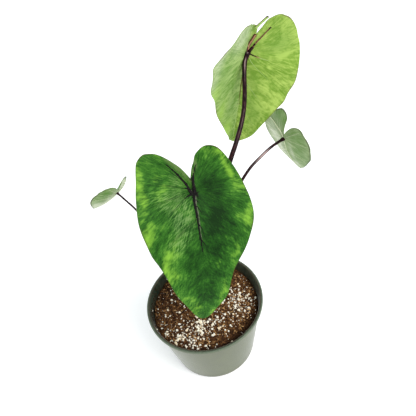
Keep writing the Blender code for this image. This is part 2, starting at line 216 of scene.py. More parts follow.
def pot_section():
    """Half section of the pot, from the floor's middle up inside, over the lip and down outside."""
    channel_in = PAD_RADIUS + CHANNEL_RAMP
    foot_in = BASE_RADIUS - FOOT_CORNER - FOOT_WIDTH
    channel_out = foot_in - CHANNEL_RAMP
    lip_in = inner_radius(POT_HEIGHT) + LIP_ROLL
    lip_bottom = POT_HEIGHT - LIP_HEIGHT
    corner_inside = FOOT_CORNER - WALL
    inside = [(0.0, WALL), (PAD_RADIUS, WALL), (channel_in, WALL + CHANNEL_RISE),
              (channel_out, WALL + CHANNEL_RISE), (foot_in, WALL)]
    inside += arc((inner_radius(FOOT_CORNER) - corner_inside, FOOT_CORNER), corner_inside, -90, 0,
                  CORNER_STEPS)
    inside += [(inner_radius(h), h) for h in LEVELS_INSIDE]
    lip = arc((lip_in, POT_HEIGHT - LIP_ROLL), LIP_ROLL, 180, 90, LIP_STEPS)
    lip += arc((LIP_RADIUS - LIP_ROLL, POT_HEIGHT - LIP_ROLL), LIP_ROLL, 90, 0, LIP_STEPS)
    lip += arc((LIP_RADIUS - LIP_EDGE, lip_bottom + LIP_EDGE), LIP_EDGE, 0, -90, EDGE_STEPS)
    outside = [(outer_radius(lip_bottom) + LIP_FILLET, lip_bottom)]
    outside += [(outer_radius(h), h) for h in (lip_bottom - LIP_EDGE, *LEVELS_OUTSIDE)]
    outside += arc((outer_radius(FOOT_CORNER) - FOOT_CORNER, FOOT_CORNER), FOOT_CORNER, 0, -90,
                   CORNER_STEPS)
    under = [(foot_in, 0.0), (channel_out, CHANNEL_RISE), (channel_in, CHANNEL_RISE),
             (PAD_RADIUS, 0.0), (0.0, 0.0)]
    return inside + lip + outside + under


def mesh_of(name, shape):
    """A mesh of what has been built, which is then let go."""
    mesh = bpy.data.meshes.new(name)
    shape.to_mesh(mesh)
    shape.free()
    return mesh


def drain_cutter():
    shape = bmesh.new()
    for i in range(DRAIN_HOLES):
        angle = 2.0 * math.pi * (i + 0.5) / DRAIN_HOLES
        made = bmesh.ops.create_cone(
            shape, cap_ends=True, segments=DRAIN_SIDES, radius1=DRAIN_RADIUS * MM,
            radius2=DRAIN_RADIUS * MM, depth=3.0 * (CHANNEL_RISE + WALL) * MM)
        place = Vector((math.cos(angle), math.sin(angle), 0.0)) * DRAIN_CIRCLE * MM
        place.z = (CHANNEL_RISE + WALL / 2) * MM
        bmesh.ops.translate(shape, verts=made["verts"], vec=place)
    return add_object("drain_cutter", mesh_of("drain_cutter", shape))


def add_object(name, data, *finishes):
    made = bpy.data.objects.new(name, data)
    for material in finishes:
        data.materials.append(material)
    bpy.context.scene.collection.objects.link(made)
    return made


def smooth(mesh, sharpest):
    """Shades a mesh smooth, but for the edges that turn by more than an angle in degrees."""
    mesh.shade_smooth()
    mesh.set_sharp_from_angle(angle=math.radians(sharpest))


def settle(piece):
    """Puts the piece's modifiers into its mesh."""
    bpy.context.view_layer.update()
    made = bpy.data.meshes.new_from_object(piece.evaluated_get(bpy.context.evaluated_depsgraph_get()))
    piece.modifiers.clear()
    piece.data = made


def pot_plastic(draw):
    """Dark green at the lip and inside; outside paler, partly painted light, with a chalky bloom and brown
    at the foot.
    """
    place = draw.place()
    height = draw.node("SeparateXYZ", {0: place}, output=2)
    lip_edge = (POT_HEIGHT - DARK_LIP) * MM
    facing = draw.node("NewGeometry", output=1)
    outward = facing.node("VectorMath", {0: facing, 1: place}, output=1, operation="DOT_PRODUCT")
    outer = outward.rise(0.0, 0.02) * (1.0 - height.rise(lip_edge - 0.0003, lip_edge + 0.0003))
    mist = place.mottle(0.022, detail=4.0)
    streaks = place.stretched(1.0, 1.0, 0.12).mottle(0.0022, detail=2.0)
    grain = place.mottle(0.0006, detail=2.0)
    away = place.stretched(1.0, 1.0, 0.0)
    radius = away.node("VectorMath", {0: away}, output=1, operation="LENGTH")
    splash = (1.0 - height.rise(0.09, 0.104)) * (streaks * 0.5 + mist * 0.5).rise(0.36, 0.56)
    # Brown soil splashes on the inner wall, and a brown band on the lip's inner edge that is partly painted
    # shade of the dark gap down to the soil.
    dirt_and_rim_shade = splash + (1.0 - radius.rise(0.0735, 0.0741)) * height.rise(0.1044, 0.105)
    # Painted highlight: a paler line along the lip's outer top edge, where the rolled lip catches the
    # light.
    painted_lip_highlight = radius.rise(0.0742, 0.0752) * height.rise(0.1025, 0.1045)
    # Brown at the foot of the outside, darkest at the bottom edge.
    brown_foot = (1.0 - height.rise(0.002, 0.005)) * mist.rise(0.15, 0.4)
    dark = (streaks * 0.6 + mist * 0.4).rise(0.3, 0.72).between(shade(30, 44, 35), shade(76, 92, 76))
    dark = layered(dark, (dirt_and_rim_shade * 0.75, (64, 54, 40)), (painted_lip_highlight * 0.35, (130, 142, 120)))
    # The outside is painted a paler, yellower green than the lip and inside; this paleness partly stands
    # for light reflected by the outer wall.
    pale = (mist * 0.8 + streaks * 0.2).rise(0.3, 0.7).between(shade(66, 74, 44), shade(82, 90, 60))
    pale = layered(pale, (brown_foot * 0.9, (60, 36, 22)))
    relief = grain * 0.4 + streaks * 0.6
    return {**surface(outer.between(dark, pale), 0.28 + mist * 0.12, 0.5, relief, 0.12),
            "Specular Tint": (1.0, 1.0, 0.82, 1.0), "Sheen Weight": 0.6, "Sheen Roughness": 0.2}


section = [(radius * MM, 0.0, height * MM) for radius, height in pot_section()]
pot_mesh = bpy.data.meshes.new("nursery_pot")
pot_mesh.from_pydata(section, [(i, i + 1) for i in range(len(section) - 1)], [])
pot = add_object("nursery_pot", pot_mesh, finish("pot_plastic", pot_plastic))
turn = pot.modifiers.new("turn", "SCREW")
turn.angle = 2.0 * math.pi
turn.steps = turn.render_steps = TURN_STEPS
turn.use_merge_vertices = True
turn.merge_threshold = TURN_WELD * MM
cutter = drain_cutter()
drain = pot.modifiers.new("drain", "BOOLEAN")
drain.object = cutter
settle(pot)
bpy.data.objects.remove(cutter)
smooth(pot.data, POT_SHARP)
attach(pot, "root")
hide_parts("pot")


# Soil
# A damp mix of brown peat, bark and coir, filled to 13 mm under the lip, with grains of white perlite
# pressed into it. The bed is one closed body, and the loose bits lie half sunk in its top.
SOIL_TOP = 93.0
SOIL_CROWN = 2.0
CRUMB_HEIGHT = 1.1
CRUMB_SIZE = 11.0
FINE_HEIGHT = 0.9
FINE_SIZE = 3.4
BED_CELLS = 190
RIM_DIP = 4.2
RIM_WIDTH = 7.0
RIM_TOWARDS = -55.0
SHRUNK_DIP = 3.0
SHRUNK_WIDTH = 11.0
SHRUNK_TOWARDS = -65.0
WALL_GAP = 0.4
SOIL_SEED = 7
BITS_REACH = 3.0
PERLITE_GRAINS = 560
PERLITE_SPECKS = 380
PERLITE_STUCK = 7
PERLITE_LARGEST = 3.8
BARK_CHIPS = 2600
PEAT_CRUMBS = 2400
CRUMBS_STUCK = 110
STUCK_TOWARDS = 200.0
STUCK_SPREAD = 0.7
STUCK_HEIGHTS = (94.0, 102.0)
STUCK_GAP = 0.2
COIR_STRANDS = 200
STRAND_REACH = 58.0
STRAND_STEPS = 8
STRAND_RAISED = 0.7
STEM_FEET = {"front": (0.0, -7.0, 6.0), "back": (4.0, 8.0, 6.5), "right": (13.5, -2.0, 4.4),
             "left": (-8.5, 2.5, 3.6)}


def shrunk_and_shaded(x, y):
    """1 at the wall on the front right, where the bed has drawn back from it and is painted dark as shade,
    and 0 away from there.
    """
    towards = 0.5 + 0.5 * math.cos(math.atan2(y, x) - math.radians(SHRUNK_TOWARDS))
    close = 2.0 * (math.hypot(x, y) - inner_radius(SOIL_TOP) + SHRUNK_WIDTH) / SHRUNK_WIDTH
    return towards**4 * min(1.0, max(0.0, close))


def fill_height(x, y):
    """Height of the bed's top: crumbs of several sizes, a slight heap, and a dip at the wall."""
    spot = Vector((x, y, 0.0))
    crumbs = CRUMB_HEIGHT * noise.fractal(spot / CRUMB_SIZE, 1.0, 2.0, 3)
    fine = FINE_HEIGHT * noise.fractal(spot / FINE_SIZE + Vector((40.0, 0.0, 0.0)), 0.8, 2.1, 4)
    away = math.hypot(x, y)
    heap = SOIL_CROWN * (0.5 - (away / LIP_RADIUS) ** 2)
    towards_front = 0.6 + 0.4 * math.cos(math.atan2(y, x) - math.radians(RIM_TOWARDS))
    rim = max(0.0, (away - inner_radius(SOIL_TOP) + RIM_WIDTH) / RIM_WIDTH)
    dip = RIM_DIP * towards_front * rim * rim + SHRUNK_DIP * shrunk_and_shaded(x, y)
    return SOIL_TOP + crumbs + fine + heap - dip


def set_marks(mesh, marks):
    """Gives each corner of a mesh the numbers that its finish reads, by name."""
    for name, values in marks.items():
        layer = mesh.attributes.new(name, "FLOAT", "POINT")
        layer.data.foreach_set("value", np.asarray(values, np.float32))


def soil_bed():
    shape = bmesh.new()
    bmesh.ops.create_grid(shape, x_segments=BED_CELLS, y_segments=BED_CELLS, size=1.0)
    top_radius = inner_radius(SOIL_TOP - RIM_DIP) - WALL_GAP
    for vert in shape.verts:
        across, along = vert.co.x, vert.co.y
        x = across * math.sqrt(1.0 - along * along / 2.0) * top_radius
        y = along * math.sqrt(1.0 - across * across / 2.0) * top_radius
        vert.co = Vector((x, y, fill_height(x, y))) * MM
    floor_level = WALL + CHANNEL_RISE + WALL_GAP
    shoulder = floor_level + FOOT_CORNER
    shoulder_radius = inner_radius(shoulder) - WALL_GAP
    for spread, height in ((shoulder_radius / top_radius, shoulder),
                           ((shoulder_radius - FOOT_CORNER) / shoulder_radius, floor_level)):
        rim = [edge for edge in shape.edges if edge.is_boundary]
        made = bmesh.ops.extrude_edge_only(shape, edges=rim)
        for vert in made["geom"]:
            if isinstance(vert, bmesh.types.BMVert):
                vert.co = Vector((vert.co.x * spread, vert.co.y * spread, height * MM))
    bmesh.ops.edgeloop_fill(shape, edges=[edge for edge in shape.edges if edge.is_boundary])
    bmesh.ops.recalc_face_normals(shape, faces=shape.faces[:])
    mesh = mesh_of("soil_bed", shape)
    set_marks(mesh, {"shrunk_and_shaded": [shrunk_and_shaded(v.co.x / MM, v.co.y / MM) for v in mesh.vertices]})
    mesh.shade_smooth()
    return mesh


def peat(draw):
    place = draw.place()
    lumps = place.mottle(0.006, detail=6.0, roughness=0.7)
    threads = place.stretched(1.0, 0.35).mottle(0.0012, detail=3.0)
    crossing = place.stretched(0.35, 1.0).mottle(0.0014, detail=3.0)
    mixed = lumps * 0.5 + threads * 0.25 + crossing * 0.25
    colour = mixed.ramp((0.38, (12, 6, 3)), (0.47, (56, 33, 16)), (0.55, (104, 70, 38)),
                        (0.65, (170, 126, 78)))
    # Painted shade: the peat turns near-black at the front right wall, in the gap where the bed has drawn
    # back.
    colour = layered(colour, (draw.mark("shrunk_and_shaded") * 0.9, (14, 9, 5)))
    return surface(colour, 0.92, 0.15, mixed, 1.0)


def lump(detail, flatness, draw):
    """Corners and faces of one irregular grain about 1 across, flattened and turned at random."""
    shape = bmesh.new()
    bmesh.ops.create_icosphere(shape, subdivisions=detail, radius=0.5)
    offset = Vector((draw.uniform(0, 90), draw.uniform(0, 90), draw.uniform(0, 90)))
    for vert in shape.verts:
        vert.co *= 1.0 + 0.55 * noise.noise(vert.co * 2.6 + offset)
    turned = Matrix.Rotation(draw.uniform(0, math.tau), 3, "Z")
    turned @= Matrix.Rotation(draw.uniform(-0.5, 0.5), 3, "X")
    turned @= Matrix.Diagonal((1.0, draw.uniform(0.6, 0.95), flatness))
    corners = np.array([turned @ vert.co for vert in shape.verts])
    faces = np.array([[vert.index for vert in face.verts] for face in shape.faces])
    shape.free()
    return corners, faces


def scatter(draw, count, likely=lambda x, y: 1.0):
    """Places on the bed, kept as often as likely says, clear of the wall and of each stem's foot.

    A foot is its place and the radius of the bare soil round it."""
    spots = []
    reach = inner_radius(SOIL_TOP) - BITS_REACH
    while len(spots) < count:
        away, angle = reach * math.sqrt(draw.random()), draw.uniform(0.0, math.tau)
        x, y = away * math.cos(angle), away * math.sin(angle)
        clear = all(math.hypot(x - foot[0], y - foot[1]) > foot[2] for foot in STEM_FEET.values())
        if clear and draw.random() < likely(x, y):
            spots.append((x, y))
    return spots


def strewn(name, material, bits):
    """One mesh of many loose bits, each with its own tone. A bit is its corners, faces and tone."""
    corners, faces, tones, start = [], [], [], 0
    for bit_corners, bit_faces, tone in bits:
        corners.append(bit_corners)
        faces.extend((bit_faces + start).tolist())
        tones.append(np.full(len(bit_corners), tone))
        start += len(bit_corners)
    mesh = bpy.data.meshes.new(name)
    mesh.from_pydata((np.concatenate(corners) * MM).tolist(), [], faces)
    set_marks(mesh, {"tone": np.concatenate(tones)})
    piece = add_object(name, mesh, material)
    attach(piece, "root")
    return piece


def perlite(draw):
    pits = draw.place().mottle(0.0007, detail=3.0)
    clean = draw.mark("tone").rise(0.0, 0.4).between(shade(255, 236, 204), shade(255, 250, 236))
    dusty = pits.rise(0.2, 0.36).between(shade(184, 144, 94), clean)
    return surface(dusty, 0.85, 0.2, pits, 0.2)


def bark(draw):
    grain = draw.place().mottle(0.0009, detail=3.0)
    mixed = draw.mark("tone") * 0.8 + grain * 0.35 - 0.06
    colour = mixed.ramp((0.0, (16, 8, 4)), (0.35, (70, 41, 21)), (0.65, (122, 83, 47)),
                        (1.0, (206, 164, 112)))
    return surface(colour, 0.85, 0.2, grain, 0.3)


def grain_share(x, y):
    """Perlite lies in clumps, thickest at the front, on the right and in a band along the wall."""
    away, angle = math.hypot(x, y), math.atan2(y, x)
    front = math.exp(-(((x + 10.0) / 19.0) ** 2 + ((y + 35.0) / 12.0) ** 2))
    band = math.exp(-(((away - 59.0) / 7.0) ** 2 + ((angle + 2.2) / 0.36) ** 2))
    right = math.exp(-(((x - 44.0) / 17.0) ** 2 + ((y + 8.0) / 18.0) ** 2))
    clump = 0.6 + 1.3 * max(0.0, noise.noise(Vector((x / 4.0, y / 4.0, 3.0))))
    return min(1.0, (0.06 + 0.75 * front + 0.6 * band + 0.42 * right) * clump)


def painted_light(x, y):
    """Painted light: how much paler the loose bits are made on the right and in a band along the wall,
    where the bed is lit more.
    """
    band = math.exp(-(((math.hypot(x, y) - 58.0) / 9.0) ** 2 + ((math.atan2(y, x) + 2.3) / 0.5) ** 2))
    return min(1.0, max(0.0, (x + 5.0) / 40.0) + band)


def chip(draw):
    """A splinter of bark: a slab with shifted corners, longer than it is wide."""
    length, width, depth = draw.uniform(1.4, 5.0), draw.uniform(0.5, 1.7), draw.uniform(0.3, 0.9)
    corners = []
    for x in (-0.5, 0.5):
        for y in (-0.5, 0.5):
            for z in (-0.5, 0.5):
                shift = Vector([draw.uniform(-0.18, 0.18) for _ in range(3)])
                corner = Vector((x, y, z)) + shift
                corners.append(corner * Vector((length, width, depth)))
    turned = Matrix.Rotation(draw.uniform(0, math.tau), 3, "Z")
    turned @= Matrix.Rotation(draw.gauss(0, 0.35), 3, "Y")
    faces = ((0, 1, 3, 2), (4, 6, 7, 5), (0, 4, 5, 1), (2, 3, 7, 6), (0, 2, 6, 4), (1, 5, 7, 3))
    return np.array([turned @ corner for corner in corners]), np.array(faces)


bed = add_object("soil_bed", soil_bed(), finish("peat", peat))
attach(bed, "root")
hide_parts("soil")

soil_draw = random.Random(SOIL_SEED)


def laid(corners, x, y, sunk):
    """A bit's corners where it lies: at its place, sunk by a share of its height."""
    low, high = corners[:, 2].min(), corners[:, 2].max()
    return corners + np.array((x, y, fill_height(x, y) - low - sunk * (high - low)))


def stuck(draw, corners):
    """A bit's corners where it clings to the inside of the wall above the bed, mostly on the left.

    STUCK_SPREAD, the spread about that side, is in radians."""
    angle = draw.gauss(math.radians(STUCK_TOWARDS), STUCK_SPREAD)
    height = draw.uniform(*STUCK_HEIGHTS)
    radius = inner_radius(height) - STUCK_GAP
    return corners + np.array((radius * math.cos(angle), radius * math.sin(angle), height))


def strand(draw, x, y):
    """A curved coir fibre: a thin three-sided thread that follows the bed."""
    length, bow, thick = draw.uniform(4.0, 12.0), draw.uniform(-0.5, 0.5), draw.uniform(0.1, 0.2)
    heading = draw.uniform(0.0, math.tau)
    ahead = Vector((math.cos(heading), math.sin(heading), 0.0))
    aside = Vector((-ahead.y, ahead.x, 0.0))
    corners = []
    for i in range(STRAND_STEPS + 1):
        t = i / STRAND_STEPS - 0.5
        middle = Vector((x, y, 0.0)) + ahead * t * length + aside * bow * length * (0.25 - t * t)
        middle.z = fill_height(middle.x, middle.y) + STRAND_RAISED
        ridge = middle + Vector((0.0, 0.0, 1.6 * thick))
        corners += [middle + aside * thick, middle - aside * thick, ridge]
    faces = []
    for i in range(STRAND_STEPS):
        for side in range(3):
            a, b = 3 * i + side, 3 * i + (side + 1) % 3
            faces.append((a, b, b + 3, a + 3))
    return np.array(corners), np.array(faces)


perlite_bits = []
for x, y in scatter(soil_draw, PERLITE_GRAINS, grain_share):
    size = min(PERLITE_LARGEST, 1.3 + soil_draw.expovariate(1.3))
    corners, faces = lump(2 if size > 1.6 else 1, soil_draw.uniform(0.6, 0.95), soil_draw)
    perlite_bits.append((laid(corners * size, x, y, 0.2), faces, soil_draw.random()))
for x, y in scatter(soil_draw, PERLITE_SPECKS, grain_share):
    corners, faces = lump(1, soil_draw.uniform(0.6, 0.95), soil_draw)
    size = soil_draw.uniform(0.7, 1.4)
    perlite_bits.append((laid(corners * size, x, y, 0.1), faces, soil_draw.random()))
for _ in range(PERLITE_STUCK):
    corners, faces = lump(2, 0.8, soil_draw)
    perlite_bits.append((stuck(soil_draw, corners * soil_draw.uniform(1.2, 2.4)), faces, 1.0))
perlite_piece = strewn("perlite", finish("perlite", perlite), perlite_bits)
perlite_piece.data.shade_smooth()

bark_bits = []
for x, y in scatter(soil_draw, BARK_CHIPS):
    corners, faces = chip(soil_draw)
    # Painted light and shade: the bit is paler where the bed is painted lit, and near-black in the shaded
    # gap at the front right wall.
    tone = (soil_draw.random() ** 1.6 + 0.16 * painted_light(x, y)) * (1.0 - 0.9 * shrunk_and_shaded(x, y))
    bark_bits.append((laid(corners, x, y, soil_draw.uniform(0.2, 0.7)), faces, tone))
strewn("bark_chips", finish("bark", bark), bark_bits)

crumb_bits = []
for x, y in scatter(soil_draw, PEAT_CRUMBS):
    corners, faces = lump(1, soil_draw.uniform(0.5, 1.0), soil_draw)
    size = soil_draw.uniform(0.9, 2.6)
    # Painted light and shade: the bit is paler where the bed is painted lit, and near-black in the shaded
    # gap at the front right wall.
    tone = (soil_draw.random() ** 2 * 0.7 + 0.16 * painted_light(x, y)) * (1.0 - 0.9 * shrunk_and_shaded(x, y))
    crumb_bits.append((laid(corners * size, x, y, 0.4), faces, tone))
for _ in range(CRUMBS_STUCK):
    corners, faces = lump(1, 0.7, soil_draw)
    corners = stuck(soil_draw, corners * soil_draw.uniform(0.8, 2.2))
    crumb_bits.append((corners, faces, soil_draw.random() * 0.4))
strewn("peat_crumbs", bpy.data.materials["bark"], crumb_bits)

strand_bits = []
for x, y in scatter(soil_draw, COIR_STRANDS, lambda x, y: math.hypot(x, y) < STRAND_REACH):
    strand_bits.append((*strand(soil_draw, x, y), soil_draw.uniform(0.4, 0.85)))
strewn("coir_strands", bpy.data.materials["bark"], strand_bits)


# Leaf blades
# Each is one thin sheet of living leaf, set on its stem at a point inside its outline, with the ribs
# running out from there. A row of the mesh follows a side vein from the midrib out to the margin.
SHEET = 0.6
SUNK_RIB = 0.15
VEIN_LEAN = 0.7
MIDLINE_BLEND = 8.0
BEND_SPAN = 100.0
LEAST_BEND = 1e-6
BASAL_RIB = 8.4
LAST_PLACE = 12.0
BOW_FADE = 12.0
WAVE_HEIGHT = 0.9
CURVE_STEPS = 12
RAGGED_SIZE = 1.6
DARK_START = 0.35
ALL_ALONG = 400.0
RIB_SIDES = 10
RIB_TAPER = 0.8
SIDE_REACH = 0.86
SIDE_STEPS = 6
BESIDE_MIDRIB = 1e-4
WELD = 0.01
LEAF_SHARP = 55.0
MARKS = ("patches_and_sheen", "sheen_shade_and_tone", "stains", "pales_and_sheen", "dried")
GROOVE = 0.06
LARGE_VEINS = (1.4, 2.3, 3.1, 3.8, 4.6, 5.6, 6.7, BASAL_RIB, 10.2)
SMALL_VEINS = (2.0, 3.4, 4.6, 6.2, BASAL_RIB)
GROWN = {"grown": 1.0, "veins": LARGE_VEINS, "bow": 0.07, "rows": 193}


def along_curve(points, places):
    """A smooth curve's points at places counted along the points that it runs through."""
    knots = np.array(points, float)
    knots = np.vstack([2 * knots[0] - knots[1], knots, 2 * knots[-1] - knots[-2]])
    start = np.clip(places.astype(int), 0, len(knots) - 4)
    t = (places - start)[:, None]
    a, b, c, d = (knots[start + i] for i in range(4))
    return 0.5 * (2 * b + t * (c - a) + t**2 * (2 * a - 5 * b + 4 * c - d)
                  + t**3 * (3 * b - a - 3 * c + d))


def whole_curve(points):
    """Many points of the smooth curve, from the first of the given points to the last."""
    last = len(points) - 1
    return along_curve(points, np.linspace(0.0, last, CURVE_STEPS * last + 1))


def smooth_step(value):
    value = np.clip(value, 0.0, 1.0)
    return value * value * (3.0 - 2.0 * value)


def blade_axes(leaf):
    """Directions at the stem: along the midrib, to the blade's right, and out of its upper side."""
    heading, droop, roll = (math.radians(leaf[k]) for k in ("heading", "droop", "roll"))
    level = np.array((math.cos(heading), math.sin(heading), 0.0))
    up = np.array((0.0, 0.0, 1.0))
    along = level * math.cos(droop) - up * math.sin(droop)
    out = level * math.sin(droop) + up * math.cos(droop)
    right = np.cross(along, out)
    return (along, right * math.cos(roll) + out * math.sin(roll),
            out * math.cos(roll) - right * math.sin(roll))


def per_mm(bend):
    """A bend in degrees per 100 mm as radians per mm, kept off zero so that it can divide."""
    rate = math.radians(bend) / BEND_SPAN
    return rate if abs(rate) > LEAST_BEND else LEAST_BEND


def bent(leaf, ahead, across):
    """Where points of the flat blade lie once it is bent, and the upper side's direction there."""
    along, right, out = blade_axes(leaf)
    ahead, across = (np.asarray(v, float)[:, None] for v in (ahead, across))
    blend = smooth_step(across / (2.0 * MIDLINE_BLEND) + 0.5)
    lobe_bend = per_mm(leaf["arch_left"]) * (1.0 - blend) + per_mm(leaf["arch_right"]) * blend
    bend = np.where(ahead >= 0, per_mm(leaf["arch"]), lobe_bend)
    turned = bend * ahead
    forward = along * np.cos(turned) - out * np.sin(turned)
    upper = out * np.cos(turned) + along * np.sin(turned)
    spine = along * np.sin(turned) / bend - out * (1.0 - np.cos(turned)) / bend
    twist = math.radians(leaf["twist"]) * ahead / BEND_SPAN
    sideways = right * np.cos(twist) + np.cross(forward, right) * np.sin(twist)
    upper = upper * np.cos(twist) + np.cross(forward, upper) * np.sin(twist)
    cup = per_mm(leaf["cup"])
    fold = np.radians(np.where(across >= 0, leaf["fold_right"], leaf["fold_left"]))
    lean = fold + cup * np.abs(across)
    side = np.where(across >= 0, 1.0, -1.0)
    reach = side * (np.sin(lean) - np.sin(fold)) / cup
    drop = (np.cos(fold) - np.cos(lean)) / cup
    spot = np.array(leaf["junction"]) + spine + reach * sideways - drop * upper
    return spot, upper * np.cos(lean) + side * sideways * np.sin(lean)


def vein_root(leaf, places):
    """How far ahead of the stem each row leaves the midrib, the same for both halves."""
    ends = [along_curve(leaf[side], places) for side in ("left", "right")]
    root = sum(end[:, 0] - VEIN_LEAN * end[:, 1] for end in ends) / 2.0
    return np.where(places == 0.0, leaf["left"][0][0], np.maximum(root, 0.0))


def half_outline(leaf, side, place):
    """The margin's flat places on one half, pushed out or in where the leaf's own margin is."""
    end = along_curve(leaf[side], place)
    root = np.array((vein_root(leaf, place), np.zeros(len(place)))).T
    outward = end - root
    outward /= np.maximum(np.linalg.norm(outward, axis=1), 1.0)[:, None]
    for at, spread, push in leaf.get("pushed_" + side, ()):
        end = end + push * np.exp(-(((place - at) / spread) ** 2))[:, None] * outward
    return end


def flat_places(leaf, place, share):
    """Flat blade places, ahead and across, at places along the outline and shares out to it."""
    left, right = half_outline(leaf, "left", place), half_outline(leaf, "right", place)
    end = np.where(share[:, None] >= 0, right, left)
    size = np.abs(share)
    root = vein_root(leaf, place)
    bow = -leaf["bow"] * end[:, 1] * 4.0 * size * (1.0 - size) * smooth_step(root / BOW_FADE)
    return root + (end[:, 0] - root) * size + bow, end[:, 1] * share


def vein_count(leaf, place):
    """Counts side veins along the outline, a whole number at each vein."""
    stops = (0.0, *leaf["veins"], LAST_PLACE)
    return np.interp(place, stops, range(len(stops)))


def sheet_lift(leaf, place, share):
    """How far the sheet stands off its smooth form: waves at the margin, and quilting between veins."""
    size = np.abs(share)
    side = np.where(share >= 0, 1.0, -1.0)
    wave = np.sin(math.tau * leaf["waves"] * place / LAST_PLACE + side)
    waves = WAVE_HEIGHT * leaf["grown"] * wave * size**2 * np.sin(math.pi * place / LAST_PLACE)
    quilt = np.abs(np.sin(math.pi * vein_count(leaf, place))) ** 0.8
    puff = leaf["puff"] * quilt * smooth_step(size / 0.25) * (1.0 - smooth_step((size - 0.55) / 0.45))
    return waves + puff


def quads(rows, columns):
    """Corner numbers of the faces of a grid of points."""
    first = (np.arange(rows - 1)[:, None] * columns + np.arange(columns - 1)).reshape(-1, 1)
    return first + np.array((0, 1, columns + 1, columns))


def blobs(ahead, across, marks):
    """Soft round marks on the flat blade: each is ahead, across, half length, half width, strength."""
    total = np.zeros(len(ahead))
    for at, side, length, width, strength in marks:
        total += strength * np.exp(-(((ahead - at) / length) ** 2 + ((across - side) / width) ** 2))
    return np.clip(total, -1.0, 1.0)


def tube_faces(rows, around, start=0):
    """Corner numbers of a closed tube's faces: its wall, row by row, and its two ends."""
    faces = []
    for row in range(rows - 1):
        for i in range(around):
            j = (i + 1) % around
            a, b = start + row * around, start + (row + 1) * around
            faces.append((a + i, a + j, b + j, b + i))
    last = start + (rows - 1) * around
    return faces + [tuple(range(start, start + around))[::-1], tuple(range(last, last + around))]


def line_ahead(line):
    """The direction of a line of points at each of them."""
    ahead = np.gradient(line, axis=0)
    return ahead / np.linalg.norm(ahead, axis=1)[:, None]


def line_done(line):
    """How far along a line of points each of them lies."""
    return np.concatenate([[0.0], np.cumsum(np.linalg.norm(np.diff(line, axis=0), axis=1))])


def tube_corners(line, beside, above, wide, high):
    """Rings of corners along a line, each corner that far beside the line and above it."""
    rings = wide[:, :, None] * beside[:, None, :] + high[:, :, None] * above[:, None, :]
    return (line[:, None, :] + rings).reshape(-1, 3)


def rib_tube(leaf, path, start, end, side, dark, ragged=0.0, tone=1.0, lifted=1.0):
    """A tapered rib on the upper side (1) or underside (-1), along a path of flat places.

    Its half width runs from start to end, and its dark tone fades out over the length dark."""
    line = whole_curve([(*p, 0.0) for p in path])
    spot, out = bent(leaf, line[:, 0], line[:, 1])
    spot = spot + out * np.where(side > 0, 0.0, -SHEET)
    done = line_done(spot)
    radius = start + (end - start) * (done / done[-1]) ** RIB_TAPER
    knots = [Vector((d / RAGGED_SIZE, path[-1][0], path[-1][1])) for d in done]
    radius *= 1.0 + ragged * np.array([noise.noise(knot) for knot in knots])
    angles = np.linspace(0.0, math.tau, RIB_SIDES, endpoint=False)
    height = np.where(np.sin(angles) > 0.0, lifted * leaf["rib_height"], SUNK_RIB) * np.sin(angles)
    corners = tube_corners(spot, np.cross(line_ahead(spot), out), side * out,
                           radius[:, None] * np.cos(angles), radius[:, None] * height)
    faces = [face if side < 0 else face[::-1] for face in tube_faces(len(line), RIB_SIDES)]
    fading = smooth_step((done - DARK_START * dark) / ((1.0 - DARK_START) * dark))
    return corners, faces, np.repeat(tone * (1.0 - fading), RIB_SIDES)


def leaf_mesh(name, leaf, ribs):
    """The sheet's two sides and its margin as one closed mesh, with the ribs standing on it."""
    rows, half = leaf["rows"], leaf["half"]
    columns = 2 * half + 1
    places = np.linspace(0.0, LAST_PLACE, rows)
    shares = np.linspace(-1.0, 1.0, columns)
    place, share = np.repeat(places, columns), np.tile(shares, rows)
    ahead, across = flat_places(leaf, place, share)
    spot, out = bent(leaf, ahead, across)
    upper = spot + out * sheet_lift(leaf, place, share)[:, None]
    corners = [upper, upper - out * SHEET]
    count = rows * columns
    top = quads(rows, columns)
    rim = []
    for column, flip in ((0, False), (columns - 1, True)):
        for row in range(rows - 1):
            a, b = row * columns + column, (row + 1) * columns + column
            face = (a, b, b + count, a + count)
            rim.append(face[::-1] if flip else face)
    faces = top[:, ::-1].tolist() + (top + count).tolist() + rim
    kinds = [0] * len(top) + [1] * len(top) + [2] * len(rim)
    flat = np.stack([across, ahead], 1)
    rowed = np.stack([share, place], 1)
    marks = {key: np.tile(blobs(ahead, across, leaf.get(key, ())), 2) for key in MARKS}
    counted = vein_count(leaf, place)
    marks["grooves"] = np.tile(np.exp(-(((counted - np.round(counted)) / GROOVE) ** 2)), 2)
    dark = [np.zeros(2 * count)]
    start = 2 * count
    for side, *rib in ribs:
        rib_corners, rib_faces, tint = rib_tube(leaf, *rib[:3], side, *rib[3:])
        corners.append(rib_corners)
        faces += [[corner + start for corner in face] for face in rib_faces]
        kinds += [3 if side > 0 else 4] * len(rib_faces)
        dark.append(tint)
        start += len(rib_corners)
    extra = start - 2 * count
    mesh = bpy.data.meshes.new(name)
    mesh.from_pydata((np.concatenate(corners) * MM).tolist(), [], faces)
    mesh.polygons.foreach_set("material_index", kinds)
    loops = np.empty(len(mesh.loops), int)
    mesh.loops.foreach_get("vertex_index", loops)
    for layer, pairs in (("flat", flat), ("rows", rowed)):
        full = np.concatenate([pairs, pairs, np.zeros((extra, 2))])
        mesh.uv_layers.new(name=layer).data.foreach_set("uv", full[loops].astype(np.float32).ravel())
    layers = {key: np.concatenate([value, np.zeros(extra)]) for key, value in marks.items()}
    layers["dark"] = np.concatenate(dark)
    set_marks(mesh, layers)
    shape = bmesh.new()
    shape.from_mesh(mesh)
    bmesh.ops.remove_doubles(shape, verts=shape.verts[:], dist=WELD * MM)
    shape.to_mesh(mesh)
    shape.free()
    smooth(mesh, LEAF_SHARP)
    return mesh


